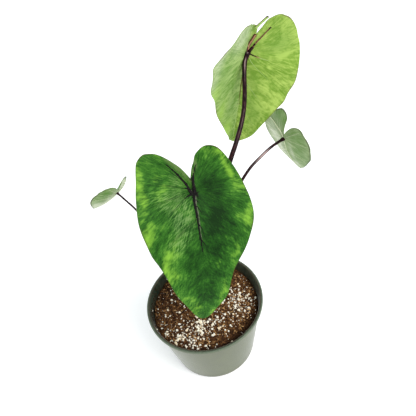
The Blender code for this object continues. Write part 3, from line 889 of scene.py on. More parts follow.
def row_rib(leaf, place, side):
    """The flat path of a side rib, from the midrib out along its row to near the margin."""
    share = np.linspace(0.0, SIDE_REACH, SIDE_STEPS) * side
    share[0] = side * BESIDE_MIDRIB
    ahead, across = flat_places(leaf, np.full(SIDE_STEPS, place), share)
    return list(zip(ahead, across))


def under_ribs(leaf, midrib, basal, minor, dark):
    """Ribs that stand out of the underside: the midrib, two basal ribs and the side ribs."""
    tip = leaf["left"][0][0]
    ribs = [(-1, [(share * tip, 0.0) for share in (0.0, 0.3, 0.65, 0.95)], midrib, 0.25, dark)]
    for place in leaf["veins"]:
        for side in (-1.0, 1.0):
            thick = basal if place == BASAL_RIB else minor
            ribs.append((-1, row_rib(leaf, place, side), thick, 0.15, dark * 0.6, 0.0, 0.6))
    return ribs


def dark_ribs(side, *ribs):
    """Ribs on one side of a blade that keep their tone all along.

    Each is its path, its half width at both ends and what rib_tube takes after the dark length."""
    return [(side, path, start, end, ALL_ALONG, *rest) for path, start, end, *rest in ribs]


def young_outline(length, width, lobes):
    """Half outline of a young blade in millimetres, from its tip round one lobe to the notch."""
    shape = ((1.0, 0.0), (0.93, 0.072), (0.8, 0.158), (0.62, 0.262), (0.4, 0.363), (0.2, 0.415),
             (0.02, 0.42), (-0.15, 0.378), (-0.27, 0.29), (-0.31, 0.186), (-0.27, 0.095),
             (-0.18, 0.036), (-0.09, 0.0))
    return [(a * length * (lobes if a < 0 else 1.0), w * length * width) for a, w in shape]


def leaf_coordinates(draw):
    """The flat blade's places in mm, and the rows' shares and places, as vectors to paint by."""
    flat = draw.node("UVMap", uv_map="flat")
    rows = draw.node("UVMap", uv_map="rows")
    return flat, rows


def from_midrib(rows):
    """The share of the way from the midrib out to the margin."""
    share = rows.node("SeparateXYZ", {0: rows})
    return share.sum("ABSOLUTE", share)


def browned(skin, flat, rows, brown, start=0.974):
    """The skin with its outermost millimetre dried brown, here and there or where the leaf says so."""
    edge = from_midrib(rows).rise(start, start + 0.016)
    stretches = skin.mark("dried") + flat.mottle(24.0).rise(0.54, 0.62) * 0.45
    return layered(skin, (edge * stretches.rise(0.0, 1.0), brown))


# Front leaf
# The largest blade, its upper side towards the room: satin and dark green, broken by lime patches, with a
# paler, greyer painted sheen beside the midrib, painted shade over much of the other half, and raised
# veins of near-black purple where the stem meets it.
front = {
    **GROWN, "junction": (16.4, -4.9, 298.3), "heading": -87.2, "droop": 38.9, "roll": 20.7,
    "arch": 31.5, "arch_left": 17.0, "arch_right": 67.6, "cup": 0.0, "twist": 6.3,
    "fold_left": 3.8, "fold_right": 1.3, "waves": 5, "puff": 0.5, "rib_height": 0.6, "half": 46,
    "left": ((144, 0), (134, 10), (115, 22), (89, 35), (58, 53), (29, 62), (3, 59), (-24, 53),
             (-42, 42), (-47, 28), (-41, 14), (-25, 6), (-12, 0)),
    "right": ((144, 0), (134, 10), (115, 22), (89, 35), (58, 51), (29, 60), (3, 59), (-25, 54),
              (-44, 44), (-48, 31), (-39, 18), (-24, 7), (-12, 0)),
    "pushed_left": ((0.5, 0.6, 2.2), (1.9, 0.6, 4.2), (3.05, 0.5, -2.2), (4.65, 0.5, 2.2), (7.4, 0.7, -1.0),
                    (9.85, 0.5, -2.9), (11.3, 0.5, 3.6)),
    "pushed_right": ((0.5, 0.6, 2.2), (1.3, 0.5, 1.0), (2.5, 0.85, 3.4), (4.0, 0.3, 0.9), (6.7, 0.4, -1.0),
                     (7.5, 0.25, 0.6), (8.5, 0.3, 0.9), (9.9, 0.5, -1.2), (10.95, 0.45, 3.2)),
    "patches_and_sheen": ((2, 50, 12, 6, 0.8), (38, 54, 13, 6, 1.0), (71, 41, 8, 4, 1.0), (62, 36, 8, 4, 0.7),
                (53, 29, 7, 4, 0.6), (83, 30, 8, 4, 0.5), (4, 38, 10, 6, 0.5), (-14, 35, 7, 6, 0.5),
                (-38, -36, 8, 9, 0.6), (-24, -45, 10, 6, 0.65), (-13, -46, 10, 5, 0.5),
                (8, -57, 14, 5, 0.4), (38, -55, 10, 5, 0.5), (55, -38, 13, 4, 0.3),
                (80, -16, 7, 4, 0.3), (103, -22, 10, 3, 0.6), (126, 9, 9, 6, 0.6),
                (117, -17, 9, 4, 0.6), (-20, 52, 14, 4, 0.4), (88, 38, 16, 3, 0.5)),
    "sheen_shade_and_tone": ((20, 16, 26, 13, 0.8), (6, 34, 12, 14, 0.6), (50, 26, 12, 11, 0.6), (36, 8, 12, 6, 0.35),
              (62, 8, 10, 8, -0.3), (-14, 14, 10, 9, 0.5),
              (44, -22, 34, 22, -1.0), (4, -20, 18, 12, -0.8), (95, 0, 22, 16, -0.3),
              (40, 40, 10, 7, -0.4), (18, 46, 8, 8, -0.4), (-16, 34, 7, 10, -0.3)),
    "stains": ((2, 0.5, 7, 3.6, 0.9), (-5, -1.5, 7, 2, 0.7), (24, 1, 24, 2.2, 0.3),
               (-12, 0, 2.6, 2.2, 1.0)),
    "pales_and_sheen": ((-39, 19, 6, 3, 0.7), (-33, 14.5, 6, 3.2, 0.9), (-26, 10, 6, 3, 1.0), (-18, 5, 6, 2.6, 1.0),
              (-11, 1, 4, 2, 0.8), (-28, -9, 7, 2.4, 0.9), (-19, -4, 6, 2.0, 0.8)),
    "dried": ((-14, 0, 5, 5, 1.0), (-40, -40, 10, 7, 0.8), (-46, 32, 12, 16, 0.8), (-48, -24, 8, 14, 0.6)),
}
front_veins = dark_ribs(
    1,
    ([(0, -0.6), (5, 0.6), (14, 1.9), (26, 1.6), (40, 1.9), (52, 1.3), (63, 0.8)], 1.7, 0.4, 0.7),
    ([(5, 1.6), (0, 4), (-6.1, 5.9), (-17, 11.5), (-24, 15.6), (-31.5, 20.6)], 1.8, 0.75, 0.4),
    ([(6, -0.5), (0.2, -1.1), (-5, -1.3), (-10.2, -2.2), (-15.3, -3.8), (-20.3, -6.2), (-26.5, -10.2)],
     2.2, 0.5, 0.5),
    ([(4, 0), (0, -0.9), (-5, -1.4), (-7, -1.6)], 2.3, 1.2, 0.7),
    ([(3, 2), (-1, 5), (-3.5, 8.5)], 1.7, 0.5, 0.7),
    # The next rib is grey: a painted highlight on the raised shoulder between the dark ribs at the stem.
    ([(3.5, 1.6), (0.6, 2.3), (-2.6, 4.2)], 0.75, 0.45, 0.3, 0.3, 1.6),
    ([(4, 2), (5, 6), (8, 14), (9, 20)], 1.0, 0.15, 0.6),
    ([(6, 1), (4, -3), (2, -6)], 1.4, 0.2, 0.6),
    ([(2, -1.4), (5.5, -2.8), (10, -3.4)], 1.1, 0.3, 0.6),
    ([(9, 1), (12, -2), (15, -4)], 0.8, 0.15, 0.6),
    ([(14, 2), (20, -2), (27, -4.5)], 0.9, 0.15, 0.6),
    ([(24, 1.5), (29, 3.5), (33, 5)], 0.7, 0.12, 0.6),
    ([(34, 1.5), (40, -1.5), (46, -3)], 0.7, 0.12, 0.6),
    ([(44, 1.5), (50, 3), (53, 4)], 0.6, 0.1, 0.6),
    ([(50, 1), (55, -2), (58, -4)], 0.8, 0.15, 0.6),
    # The first of these two is grey: a painted highlight along the midrib's right side. The second lays the
    # same grey beside the right basal rib.
    ([(6, -1), (14, 0.1), (26, -0.2), (40, 0.4), (52, 0)], 0.7, 0.3, 0.5, 0.0, 1.2),
    ([(-4, -2.5), (-10, -3.6), (-16, -5.6)], 0.5, 0.25, 0.4, 0.3, 1.2))


def streaked(rows, outward, along, lean=0.0, distortion=0.4):
    """Noise drawn out along the side veins, or leaning off them towards the tip."""
    share = rows.node("SeparateXYZ", {0: rows})
    place = rows.node("SeparateXYZ", {0: rows}, output=1)
    size = share.sum("ABSOLUTE", share)
    half = share.rise(-0.001, 0.001) * 40.0
    drawn = rows.node("CombineXYZ", {0: size * outward, 1: (place + size * lean) * along, 2: half})
    return drawn.mottle(1.0, detail=3.0, roughness=0.6, distortion=distortion)


def front_skin(draw):
    """Green brushed along the side veins, a paler, greyer painted sheen beside the midrib, painted shade on
    the other half, and lime at the margin.
    """
    flat, rows = leaf_coordinates(draw)
    # Painted light: these marks paint a paler, greyer sheen beside the midrib, where the side-vein strokes
    # show more, and painted shade where they fall below 0.
    sheen_shade = draw.mark("sheen_shade_and_tone")
    outer = from_midrib(rows)
    strokes = streaked(rows, 6.0, 20.0) * 0.5 + streaked(rows, 9.0, 14.0, lean=1.6) * 0.5
    broad = streaked(rows, 3.5, 8.0) * 0.4 + streaked(rows, 5.0, 6.0, lean=1.0) * 0.35
    brushed = (strokes.rise(0.38, 0.62) - 0.5) * (0.13 + sheen_shade.rise(-0.2, 0.5) * 0.17)
    streaks = broad + 0.125 + brushed
    clouds = flat.mottle(20.0, detail=3.0)
    fine = flat.mottle(1.6, detail=2.0)
    tone = 0.38 + (streaks - 0.5) * 1.5 + (clouds - 0.5) * 1.1 + (fine - 0.5) * 0.4
    tone = tone + sheen_shade * 0.32 + outer.rise(0.3, 1.0) * 0.18
    painted_grey_sheen = (sheen_shade * (0.26 + (streaks - 0.45) * 4.5)).rise(0.0, 1.0)
    lime = draw.mark("patches_and_sheen") * 0.8 + outer.rise(0.6, 1.0) * 0.25 + (broad - 0.375) * 2.2
    lime = (lime + (clouds - 0.5) * 2.2).rise(0.25, 1.2)
    groove = draw.mark("grooves") * (1.0 - outer.rise(0.35, 0.9)) * (0.3 + sheen_shade.rise(-0.5, 0.6) * 0.35)
    skin = tone.ramp((0.0, (12, 44, 8)), (0.3, (30, 76, 18)), (0.55, (52, 106, 30)),
                     (0.8, (86, 138, 48)), (1.0, (116, 162, 68)))
    skin = layered(skin, (painted_grey_sheen * 0.55, (120, 144, 96)), (lime * 0.95, (132, 184, 60)),
                   (outer.rise(0.975, 0.99) * 0.4, (64, 92, 34)), (groove, (20, 52, 16)),
                   (draw.mark("pales_and_sheen").rise(0.1, 0.9) * 0.7, (106, 132, 74)),
                   (draw.mark("stains") * 0.85, (14, 16, 10)))
    skin = browned(skin, flat, rows, (86, 76, 42))
    return surface(skin, 0.42 + fine * 0.15, 0.08, streaks, 0.7)


def front_underside(draw):
    flat, rows = leaf_coordinates(draw)
    clouds = flat.mottle(15.0, detail=4.0)
    streaks = rows.stretched(2.0, 8.0).mottle(1.0, detail=3.0)
    mixed = (clouds * 0.6 + streaks * 0.4).rise(0.35, 0.65)
    skin = mixed.between(shade(110, 146, 88), shade(142, 174, 112))
    skin = layered(skin, (draw.mark("patches_and_sheen") * 0.6, (172, 196, 110)))
    return surface(skin, 0.6, 0.25, streaks, 0.3)


def dark_vein(draw):
    """A near-black rib, and where its tone is low the grey painted sheen on the shoulder of the sheet
    beside it.
    """
    blotch = draw.place().mottle(0.0016, detail=3.0)
    black = blotch.rise(0.35, 0.7).between(shade(4, 2, 3), shade(20, 13, 16))
    # Painted highlight: the grey shoulder colour stands for the sheen on the raised sheet beside a dark
    # rib.
    shoulder = blotch.rise(0.35, 0.65).between(shade(60, 80, 46), shade(112, 114, 96))
    return surface(draw.mark("dark").rise(0.2, 0.8).between(shoulder, black), 0.55, 0.12, blotch, 0.2)


def pale_rib(draw):
    """Purple-brown at the stem, then rosy, then pale green, and olive where the tone is below 0."""
    tint = draw.mark("dark")
    fading = tint + (draw.place().mottle(0.002, detail=3.0) - 0.5) * 0.35
    colour = fading.ramp((0.1, (170, 198, 116)), (0.5, (178, 132, 104)), (0.8, (98, 56, 50)),
                         (1.0, (32, 14, 19)))
    return surface(layered(colour, ((0.0 - tint).rise(0.1, 0.5), (98, 98, 48))), 0.6, 0.1)


def leaf_margin(draw):
    """The thin edge of the sheet, pale with brown stretches."""
    stretch = draw.place().mottle(0.02, detail=2.0).rise(0.5, 0.62)
    return surface(stretch.between(shade(132, 158, 84), shade(96, 88, 52)), 0.5, 0.5)


def add_leaf(name, node, leaf, ribs, skins):
    piece = add_object(name, leaf_mesh(name, leaf, ribs), *skins)
    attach(piece, "root")
    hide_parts(node)


MARGIN = finish("leaf_margin", leaf_margin)
DARK_VEIN = finish("dark_vein", dark_vein)
PALE_RIB = finish("pale_rib", pale_rib)
front_ribs = [*front_veins, *under_ribs(front, 2.4, 1.7, 0.9, 60.0)]
front_skins = (finish("front_skin", front_skin), finish("front_underside", front_underside), MARGIN,
               DARK_VEIN, PALE_RIB)
add_leaf("leaf_front", "blade_front", front, front_ribs, front_skins)


# Back leaf
# A tall blade that shows its matt underside: painted light makes one half yellow-green, lit through, and
# painted shade and sheen make the other greyer. It has an olive midrib, two near-black basal ribs at the
# stem, and one lobe's edge curled dark.
back = {
    **GROWN, "junction": (93.8, 74.8, 392.4), "heading": 127.8, "droop": 74.2, "roll": -17.4,
    "arch": -1.1, "arch_left": 41.8, "arch_right": 41.8, "cup": -12.0, "twist": 22.9,
    "fold_left": 22.8, "fold_right": 30.7, "waves": 6, "puff": 0.35, "rib_height": 0.8, "half": 40,
    "left": ((129, 0), (120, 6), (103, 16), (80, 26), (51, 37), (26, 46), (3, 51), (-22, 50),
             (-42, 41), (-49.6, 26), (-41, 12), (-31, -3), (-21, -5.4)),
    "right": ((129, 0), (120, 11), (103, 22), (80, 34), (51, 46), (26, 53), (3, 53), (-21, 47),
              (-38, 36), (-45, 24), (-40, 13.5), (-29, 8.5), (-21, 5.4)),
    "pushed_left": ((0.65, 0.3, 1.6), (2.2, 0.8, -1.8), (4.15, 0.45, -2.0), (5.5, 0.5, -1.3),
                    (6.5, 0.25, 1.7), (7.05, 0.3, -4.2), (8.25, 0.2, -1.0), (9.6, 0.4, 0.8),
                    (10.62, 0.3, -2.8)),
    "pushed_right": ((1.9, 0.6, 2.2), (3.95, 0.3, 2.2), (4.8, 0.45, 1.3), (7.05, 0.3, -0.9),
                     (9.3, 0.35, 1.8), (9.6, 0.2, 0.8)),
    "patches_and_sheen": ((36, -40, 12, 7, 0.8), (73, -24, 20, 6, 0.9), (105, -12, 18, 7, 1.0)),
    "sheen_shade_and_tone": ((7, -34, 10, 8, 0.6), (33, -13, 12, 7, 0.7), (58, -11, 16, 7, 0.5), (20, -30, 20, 10, 0.2),
              (-6, 20, 10, 12, 0.4), (38, 10, 14, 7, 0.5), (60, 12, 10, 6, 0.5),
              (-14, 33, 16, 12, 0.7), (80, 18, 20, 10, 0.7), (84, -12, 16, 9, 0.6), (30, -26, 12, 9, 0.3),
              (24, 30, 8, 10, -0.4), (52, 36, 10, 10, -0.3)),
    "pales_and_sheen": ((-44, -26, 16, 18, 1.0), (-14, -46, 16, 8, 0.8), (22, -46, 20, 7, 0.5),
              (-22, -16, 14, 12, 0.8)),
    "dried": ((-50, -22, 10, 10, 0.9), (-44, 30, 8, 12, 0.8), (-34, 6, 14, 6, 0.7), (20, 52, 10, 6, 0.6),
              (60, 44, 26, 8, 0.6), (90, -24, 30, 8, 0.8), (-52, -6, 14, 8, 0.7)),
}
back_ribs = [
    (-1, [(0, 0), (30, -2), (60, -1), (95, -1), (122, 0)], 1.0, 0.3, 84.0, 0.2, -0.9),
    *dark_ribs(
        -1,
        ([(1, -0.5), (-5, -0.5), (-9, 1), (-14, 2.8), (-20.5, 4.6)], 1.8, 1.5, 0.2, 0.85, 0.6),
        ([(-3, -0.5), (-6, 0), (-9, 1), (-14, 2.8), (-20, 4.5)], 0.8, 0.9, 0.2, 0.5, 2.0),
        ([(1, 1), (-2, 3), (-5, 4.5), (-9.5, 6.4)], 2.0, 0.9, 0.5, 1.0),
        ([(-6, 5), (-12, 7.8), (-18.4, 11.3), (-29.5, 16.9)], 0.95, 0.65, 0.3, 0.74),
        ([(-28, 16), (-29, 16.6), (-30, 17.2)], 0.8, 0.7, 0.0, 1.0)),
    (-1, [(1, 1), (2.7, 3.3), (4.9, 8.8), (6.7, 14.2), (9, 24)], 0.8, 0.15, 18.0, 0.3),
    (-1, [(3, 1), (12, 6), (21, 15), (30, 26)], 0.4, 0.1, 6.0, 0.1, 1.0, 0.5),
    (-1, [(34, 0), (40, 6), (48, 13), (57, 21)], 0.5, 0.1, 4.0, 0.1, 1.0, 0.5),
    (-1, [(3, -1), (15, -9), (26, -22), (36, -38)], 0.35, 0.1, 8.0, 0.1, 1.0, 0.4),
    (-1, [(36, -1), (48, -11), (64, -23), (72, -29)], 0.35, 0.1, 4.0, 0.1, 1.0, 0.4),
    (-1, [(66, -1), (78, -8), (90, -17)], 0.35, 0.1, 3.0, 0.1, 1.0, 0.4),
    (-1, [(66, 0), (78, 8), (92, 21)], 0.3, 0.1, 3.0, 0.1, 1.0, 0.4),
]
CURL = ((-28, 3), (-34.1, 6.2), (-38.2, 8.4))
curled_edge = [
    *dark_ribs(-1, ([*CURL, (-42.3, 10.4)], 1.55, 1.35, 0.1, 0.8, 0.25),
               ([*CURL, (-42.1, 10.3)], 1.2, 1.05, 0.1, 0.05, 1.3),
               ([(-41.2, 9.9), (-42, 10.3), (-42.6, 10.6)], 1.3, 1.0, 0.0, 0.95)),
    *dark_ribs(1, ([*CURL, (-42.1, 10.3)], 1.2, 1.0, 0.1, 0.35, 0.5)),
]


def back_underside(draw):
    flat, rows = leaf_coordinates(draw)
    clouds = flat.mottle(20.0, detail=3.0, distortion=1.4)
    bands = streaked(rows, 2.2, 3.2, lean=-0.3, distortion=2.5)
    fine = flat.mottle(2.4, detail=3.0)
    strokes = streaked(rows, 4.0, 14.0, lean=0.2, distortion=1.0)
    mixed = (clouds * 0.4 + bands * 0.4 + fine * 0.08 + strokes * 0.12).rise(0.4, 0.6)
    across = flat.node("SeparateXYZ", {0: flat})
    # Painted light: one half is painted yellow-green as if lit through the leaf, the other greyer as
    # painted shade and sheen; the pale marks, partly painted sheen, lay pale grey over the greyer half.
    painted_lit_half = mixed.between(shade(112, 152, 40), shade(174, 202, 94))
    painted_shaded_half = mixed.between(shade(104, 142, 58), shade(162, 188, 112))
    skin = layered(across.rise(-3.0, 3.0).between(painted_shaded_half, painted_lit_half),
                   (draw.mark("sheen_shade_and_tone") * (0.35 + mixed * 0.25), (94, 142, 48)),
                   (draw.mark("patches_and_sheen") * 0.8, (160, 200, 78)),
                   (draw.mark("pales_and_sheen") * (0.5 + mixed * 0.4), (196, 208, 172)))
    skin = browned(skin, flat, rows, (116, 104, 62))
    return surface(skin, 0.55 + fine * 0.1, 0.25, bands, 0.5)


def back_skin(draw):
    flat, rows = leaf_coordinates(draw)
    clouds = flat.mottle(16.0, detail=4.0, roughness=0.6)
    streaks = rows.stretched(2.2, 9.0).mottle(1.0, detail=4.0)
    green = (streaks * 0.6 + clouds * 0.4).rise(0.36, 0.64)
    skin = green.between(shade(44, 96, 30), shade(92, 146, 52))
    lime = (from_midrib(rows).rise(0.4, 1.0) * 0.4 + (clouds - 0.5) * 2.2).rise(0.2, 0.8)
    skin = layered(skin, (lime * 0.7, (140, 186, 66)))
    return surface(skin, 0.42, 0.35, streaks, 0.35)


back_veins = dark_ribs(1, ([(0, 0), (30, -1), (60, -1), (95, -1)], 1.3, 0.3, 0.5),
                       ([(2, 0), (-9, 2), (-20, 4.6)], 1.3, 0.8, 0.5),
                       ([(0, 1), (-9, 6), (-29, 17)], 1.2, 0.3, 0.5))
back_skins = (finish("back_skin", back_skin), finish("back_underside", back_underside), MARGIN,
              DARK_VEIN, PALE_RIB)
add_leaf("leaf_back", "blade_back", back, [*back_ribs, *curled_edge, *back_veins], back_skins)


# Right leaf and left leaf
# Two small young blades, turned so that they show their grey-green undersides. Each folds a little
# along its pale midrib, and joins its stem at a dark knob.
YOUNG = {"grown": 0.5, "veins": SMALL_VEINS, "bow": 0.06, "twist": 0.0, "rib_height": 0.8,
         "dried": ((10, 0, 120, 60, 0.8),)}
right = {
    **YOUNG, "junction": (132.6, 91.7, 266.8), "heading": 61.9, "droop": 70.6, "roll": -48.4,
    "arch": -26.4, "arch_left": -232.0, "arch_right": -108.0, "cup": 0.0,
    "fold_left": 10.0, "fold_right": -29.9, "waves": 4, "puff": 0.2, "rows": 121, "half": 26,
    "left": young_outline(85.0, 1.0, 1.07), "right": young_outline(85.0, 1.0, 1.07),
    "pushed_left": ((4.4, 0.6, 2.3), (8.4, 0.4, 1.2), (10.6, 0.9, 1.4)),
    "pushed_right": ((1.0, 0.6, -0.8), (4.3, 0.4, 0.7), (5.6, 0.4, -0.7), (7.9, 0.5, -1.2)),
    "patches_and_sheen": ((8, -20, 18, 13, 1.0), (44, -14, 24, 8, 1.0), (30, 7, 20, 2.5, 0.6), (62, 4, 12, 5, 0.8)),
    "sheen_shade_and_tone": ((-21, -16, 8.5, 14, 1.0), (-10, 16, 12, 11, 0.8), (22, 19, 24, 10, 0.8), (48, 8, 14, 4, 0.5)),
}
left = {
    **YOUNG, "junction": (-73.5, 61.3, 258.9), "heading": 152.4, "droop": 49.2, "roll": -16.8,
    "arch": -35.5, "arch_left": -184.0, "arch_right": -328.0, "cup": -201.0,
    "fold_left": -1.0, "fold_right": 4.6, "waves": 3, "puff": 0.15, "rows": 109, "half": 22,
    "left": young_outline(58.7, 1.075, 0.81), "right": young_outline(58.7, 1.075, 0.81),
    "pushed_left": ((4.0, 0.9, 2.0), (5.95, 0.7, -1.7), (8.1, 0.5, 0.8), (10.9, 1.0, -1.4)),
    "pushed_right": ((4.1, 0.6, -1.6), (7.0, 1.2, 1.2), (10.8, 0.8, 1.6)),
    "patches_and_sheen": ((40, -8, 14, 14, 0.9), (-9, 6, 9, 7, 1.0), (-14, 13, 9, 6, 1.0), (18, -4, 18, 5, 1.0),
                (26, -16, 10, 6, 0.5)),
    "sheen_shade_and_tone": ((-4, -16, 13, 9, 1.0), (14, -20, 8, 5, 0.4)),
    "stains": ((-14, 19, 4, 4.5, 1.0), (-11, 23, 4, 3, 0.8)),
}
right_ribs = [
    (-1, [(-1, -0.5), (-6.7, -3.9), (-9.2, -12.3), (-11.3, -21), (-11.7, -28)], 0.95, 0.6, 3.0, 0.2, 0.9),
    *under_ribs(right, 0.5, 0.2, 0.18, 7.0),
]


def young_underside(draw):
    flat, rows = leaf_coordinates(draw)
    clouds = flat.mottle(12.0, detail=3.0)
    bands = streaked(rows, 2.0, 7.0, lean=0.4)
    mixed = (clouds * 0.4 + bands * 0.6).rise(0.38, 0.62)
    # The pale patches here are partly a painted sheen on the paler side of the blade; the darker green
    # marks give the rest its deeper tone.
    skin = layered(mixed.between(shade(112, 140, 80), shade(158, 178, 130)),
                   (draw.mark("sheen_shade_and_tone") * (0.5 + (1.0 - mixed) * 0.35), (84, 130, 44)),
                   (draw.mark("patches_and_sheen") * (0.55 + mixed * 0.45), (216, 222, 198)),
                   (draw.mark("stains") * 0.9, (44, 56, 30)))
    skin = browned(skin, flat, rows, (74, 86, 54), start=0.945)
    return surface(skin, 0.6, 0.25, bands, 0.3)


def young_skin(draw):
    flat, rows = leaf_coordinates(draw)
    clouds = flat.mottle(10.0, detail=3.0)
    streaks = rows.stretched(2.0, 7.0).mottle(1.0, detail=3.0)
    green = (streaks * 0.6 + clouds * 0.4).rise(0.36, 0.64)
    skin = green.between(shade(62, 110, 44), shade(112, 156, 76))
    skin = layered(skin, (draw.mark("patches_and_sheen") * 0.85, (160, 168, 134)))
    return surface(skin, 0.45, 0.35, streaks, 0.3)


def young_rib(draw):
    """Cream, and dark by the knob."""
    dark = draw.mark("dark").rise(0.3, 0.7)
    return surface(dark.between(shade(214, 220, 184), shade(40, 20, 24)), 0.55, 0.2)


YOUNG_SKINS = (finish("young_skin", young_skin), finish("young_underside", young_underside), MARGIN,
               DARK_VEIN, finish("young_rib", young_rib))
add_leaf("leaf_right", "blade_right", right, right_ribs, YOUNG_SKINS)
add_leaf("leaf_left", "blade_left", left, under_ribs(left, 0.5, 0.3, 0.15, 6.0), YOUNG_SKINS)


# Stems
# Round leaf stalks, satin and near-black purple, thicker at the soil, where each is wrapped by the
# sheath that it grew from. Each ends in a dark knob under its blade.
STEM_TURNS = 18
STEM_SHARP = 50.0
FOOT_SUNK = 8.0
FOOT_STRAIGHT = 3.0
BLADE_GAP = 0.2
BASE_SPREAD = 1.2
SHEATH_RISE = 34.0
SHEATH_SHEET = 0.6
SHEATH_THINS = 0.7
SHEATH_OUTSIDE = 1.1
SHEATH_INSIDE = 0.96
SHEATH_ROUND = 168.0
SHEATH_OPENS = 120.0
SHEATH_TURN = 60.0
KNOB_SWELL = 0.5
KNOB_REACH = 2.2
PAINTED_HIGHLIGHT_SIDE = (0.04, -0.8, 0.6)


def stem_route(leaf, foot, route):
    """From just inside the soil, up the stem's curve to the underside of its blade."""
    junction = np.array(leaf["junction"])
    out = blade_axes(leaf)[2]
    top = junction - out * (SHEET + BLADE_GAP)
    below = (foot[0], foot[1], SOIL_TOP - FOOT_SUNK)
    above = (foot[0], foot[1], SOIL_TOP + FOOT_STRAIGHT)
    return whole_curve([below, above, *route, tuple(top)])


def sheath(line, beside, front_way, radius):
    """An open sleeve round the stalk's foot, whose two edges part on the side away from the others."""
    rows = int(np.sum(line[:, 2] < SOIL_TOP + SHEATH_RISE))
    rise = np.linspace(0.0, 1.0, rows)
    half = np.radians(SHEATH_ROUND - SHEATH_OPENS * smooth_step(rise))
    turns = np.concatenate([np.linspace(-1.0, 1.0, STEM_TURNS), np.linspace(1.0, -1.0, STEM_TURNS)])
    angles = half[:, None] * turns - math.radians(SHEATH_TURN)
    outer = SHEATH_OUTSIDE * radius[:rows] + SHEATH_SHEET * (1.0 - SHEATH_THINS * rise)
    reach = np.repeat(np.stack([outer, SHEATH_INSIDE * radius[:rows]], 1), STEM_TURNS, axis=1)
    corners = tube_corners(line[:rows], beside[:rows], front_way[:rows], reach * np.cos(angles),
                           reach * np.sin(angles))
    return corners, rows


def stem_mesh(name, leaf, foot, route, base, top, painted_highlight_band):
    """The stalk as a closed tube and its sheath, with its height and the stretch of its painted highlight
    as tones.
    """
    line = stem_route(leaf, foot, route)
    ahead = line_ahead(line)
    beside = np.cross(ahead, (0.0, 1.0, 0.0))
    beside /= np.linalg.norm(beside, axis=1)[:, None]
    front_way = np.cross(beside, ahead)
    left_to_go = line_done(line)[-1] - line_done(line)
    share = np.clip((line[:, 2] - SOIL_TOP) / (line[-1, 2] - SOIL_TOP), 0.0, 1.0)
    radius = top + (BASE_SPREAD * base - top) * (1.0 - share) ** 2
    knob = np.exp(-((left_to_go / (KNOB_REACH * top)) ** 2))
    radius = radius * (1.0 + KNOB_SWELL * knob)
    angles = np.linspace(0.0, math.tau, STEM_TURNS, endpoint=False)
    corners = tube_corners(line, beside, front_way, radius[:, None] * np.cos(angles),
                           radius[:, None] * np.sin(angles))
    sleeve, rows = sheath(line, beside, front_way, radius)
    faces = tube_faces(len(line), STEM_TURNS) + tube_faces(rows, 2 * STEM_TURNS, len(corners))
    mesh = bpy.data.meshes.new(name)
    mesh.from_pydata((np.concatenate([corners, sleeve]) * MM).tolist(), [], faces)
    below, spread, strength = painted_highlight_band
    painted_highlight = strength * np.exp(-(((left_to_go - below) / spread) ** 2))
    marks = {"height": share, "painted_highlight_band": painted_highlight}
    set_marks(mesh, {key: np.concatenate([np.repeat(value, STEM_TURNS),
                                          np.repeat(value[:rows], 2 * STEM_TURNS)])
                     for key, value in marks.items()})
    smooth(mesh, STEM_SHARP)
    return mesh


def stem_skin(draw):
    """Near-black purple, with a painted pinkish highlight on the side that faces the light."""
    place = draw.place()
    painted_highlight_band = draw.mark("painted_highlight_band")
    streaks = place.stretched(1.0, 1.0, 0.1).mottle(0.0012, detail=3.0)
    blotch = place.mottle(0.006, detail=3.0)
    colour = (streaks * 0.6 + blotch * 0.4).rise(0.38, 0.66).between(shade(14, 3, 6), shade(52, 17, 26))
    normal = draw.node("NewGeometry", output=1)
    # Painted highlight: a pinkish-white stripe on the side of the stalk turned towards one fixed direction,
    # along one stretch of it.
    lit = normal.node("VectorMath", {0: normal, 1: PAINTED_HIGHLIGHT_SIDE}, output=1, operation="DOT_PRODUCT")
    painted_highlight = (lit + painted_highlight_band * 0.15 + (streaks - 0.5) * 0.15).rise(0.9, 0.98) * painted_highlight_band
    foot = (1.0 - draw.mark("height").rise(0.0, 0.12)) * blotch.rise(0.3, 0.6)
    colour = layered(colour, (painted_highlight, (184, 158, 156)), (foot * 0.5, (120, 84, 78)))
    return surface(colour, 0.42, 0.1, streaks, 0.15)


STEM_SKIN = finish("stem_skin", stem_skin)
# Each stalk's painted highlight lies a distance down from the blade, spreads over a length, and has a
# strength.
for name, leaf, base, top, painted_highlight_band, route in (
    ("front", front, 4.6, 2.6, (60.0, 60.0, 0.15),
     ((1, -3, 135), (2, 6, 190), (2, 13, 240), (6, 10, 272))),
    ("back", back, 5.0, 2.3, (12.0, 60.0, 0.6),
     ((5.8, 9.3, 127), (12.1, 14, 160), (26.5, 24.7, 206), (44.4, 38.1, 249), (61.2, 50.5, 281.4),
      (70.9, 57.8, 298.7), (79.2, 63.9, 316.4), (84.2, 67.6, 332), (87, 69.7, 350), (88.5, 70.8, 369.9),
      (90.4, 72.3, 382.8))),
    ("right", right, 3.5, 1.7, (40.0, 13.0, 0.95),
     ((17.1, 0.8, 135), (29, 10.2, 187), (45.7, 23.3, 225), (61.1, 35.5, 247.2), (71.2, 43.4, 256.4),
      (83.9, 53.4, 264.4), (98.8, 65.1, 267.8), (114.1, 77.2, 269.4))),
    ("left", left, 2.7, 1.1, (30.0, 12.0, 0.1),
     ((-10.5, 4.3, 125), (-17.6, 10.7, 165), (-32.6, 24.3, 205), (-54.4, 44, 239.9),
      (-63.3, 52.1, 249.4))),
):
    stalk = stem_mesh("stalk_" + name, leaf, STEM_FEET[name], route, base, top, painted_highlight_band)
    stem = add_object("stalk_" + name, stalk, STEM_SKIN)
    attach(stem, "root")
    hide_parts("stem_" + name)
    "stem_" + name


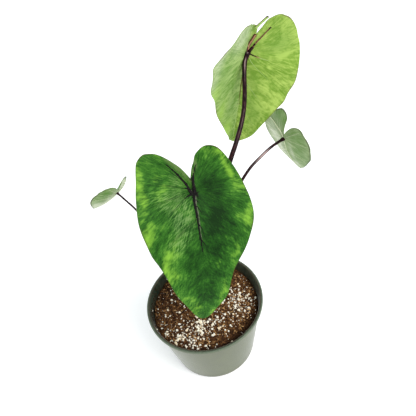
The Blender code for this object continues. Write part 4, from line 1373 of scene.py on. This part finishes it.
# Studio
# A plain white floor under soft light from all round, and a wide soft lamp high at the front right.
# The camera looks down on the front of the plant.
FLOOR_HALF = 12.0
FLOOR_GLOW = 0.3
SKY_STRENGTH = 0.82
LAMP_STRENGTH = 1.8
LAMP_SPREAD = 34.0
LAMP_FROM = (0.67, -0.56, 1.0)
CAMERA_PLACE = (27.3, -338.9, 591.0)
CAMERA_PITCH = 43.86
CAMERA_ROLL = -10.91
FIELD_OF_VIEW = 50.0


def floor_paint(draw):
    shift = draw.place().mottle(0.8, detail=2.0)
    return {**surface(shift.between(shade(246, 246, 247), shade(250, 250, 250)), 0.9, 0.1),
            "Emission Color": (0.93, 0.98, 1.0, 1.0), "Emission Strength": FLOOR_GLOW}


floor_mesh = bpy.data.meshes.new("floor")
floor_corners = [(x * FLOOR_HALF, y * FLOOR_HALF, 0.0) for x, y in ((-1, -1), (1, -1), (1, 1), (-1, 1))]
floor_mesh.from_pydata(floor_corners, [], [(0, 1, 2, 3)])
add_object("floor", floor_mesh, finish("floor_paint", floor_paint))

world = bpy.data.worlds.new("soft_sky")
world.use_nodes = True
sky = world.node_tree.nodes["Background"]
sky.inputs["Color"].default_value = (0.96, 0.985, 1.0, 1.0)
sky.inputs["Strength"].default_value = SKY_STRENGTH
bpy.context.scene.world = world

lamp_data = bpy.data.lights.new("softbox", "SUN")
lamp_data.energy = LAMP_STRENGTH
lamp_data.angle = math.radians(LAMP_SPREAD)
lamp_data.color = (1.0, 0.98, 0.94)
lamp = add_object("softbox", lamp_data)
lamp.rotation_euler = Vector(LAMP_FROM).to_track_quat("Z", "Y").to_euler()

pitch, roll = math.radians(CAMERA_PITCH), math.radians(CAMERA_ROLL)
forward = Vector((0.0, math.cos(pitch), -math.sin(pitch)))
level_right = Vector((1.0, 0.0, 0.0))
level_up = level_right.cross(forward)
camera_right = level_right * math.cos(roll) + level_up * math.sin(roll)
camera_up = level_up * math.cos(roll) - level_right * math.sin(roll)
camera_data = bpy.data.cameras.new("camera")
camera_data.angle = math.radians(FIELD_OF_VIEW)
camera_data.clip_start = 0.01
camera = add_object("camera", camera_data)
turned = Matrix((camera_right, camera_up, -forward)).transposed()
camera.matrix_world = Matrix.Translation(Vector(CAMERA_PLACE) * MM) @ turned.to_4x4()
bpy.context.scene.camera = camera
bpy.context.scene.view_settings.view_transform = "Standard"
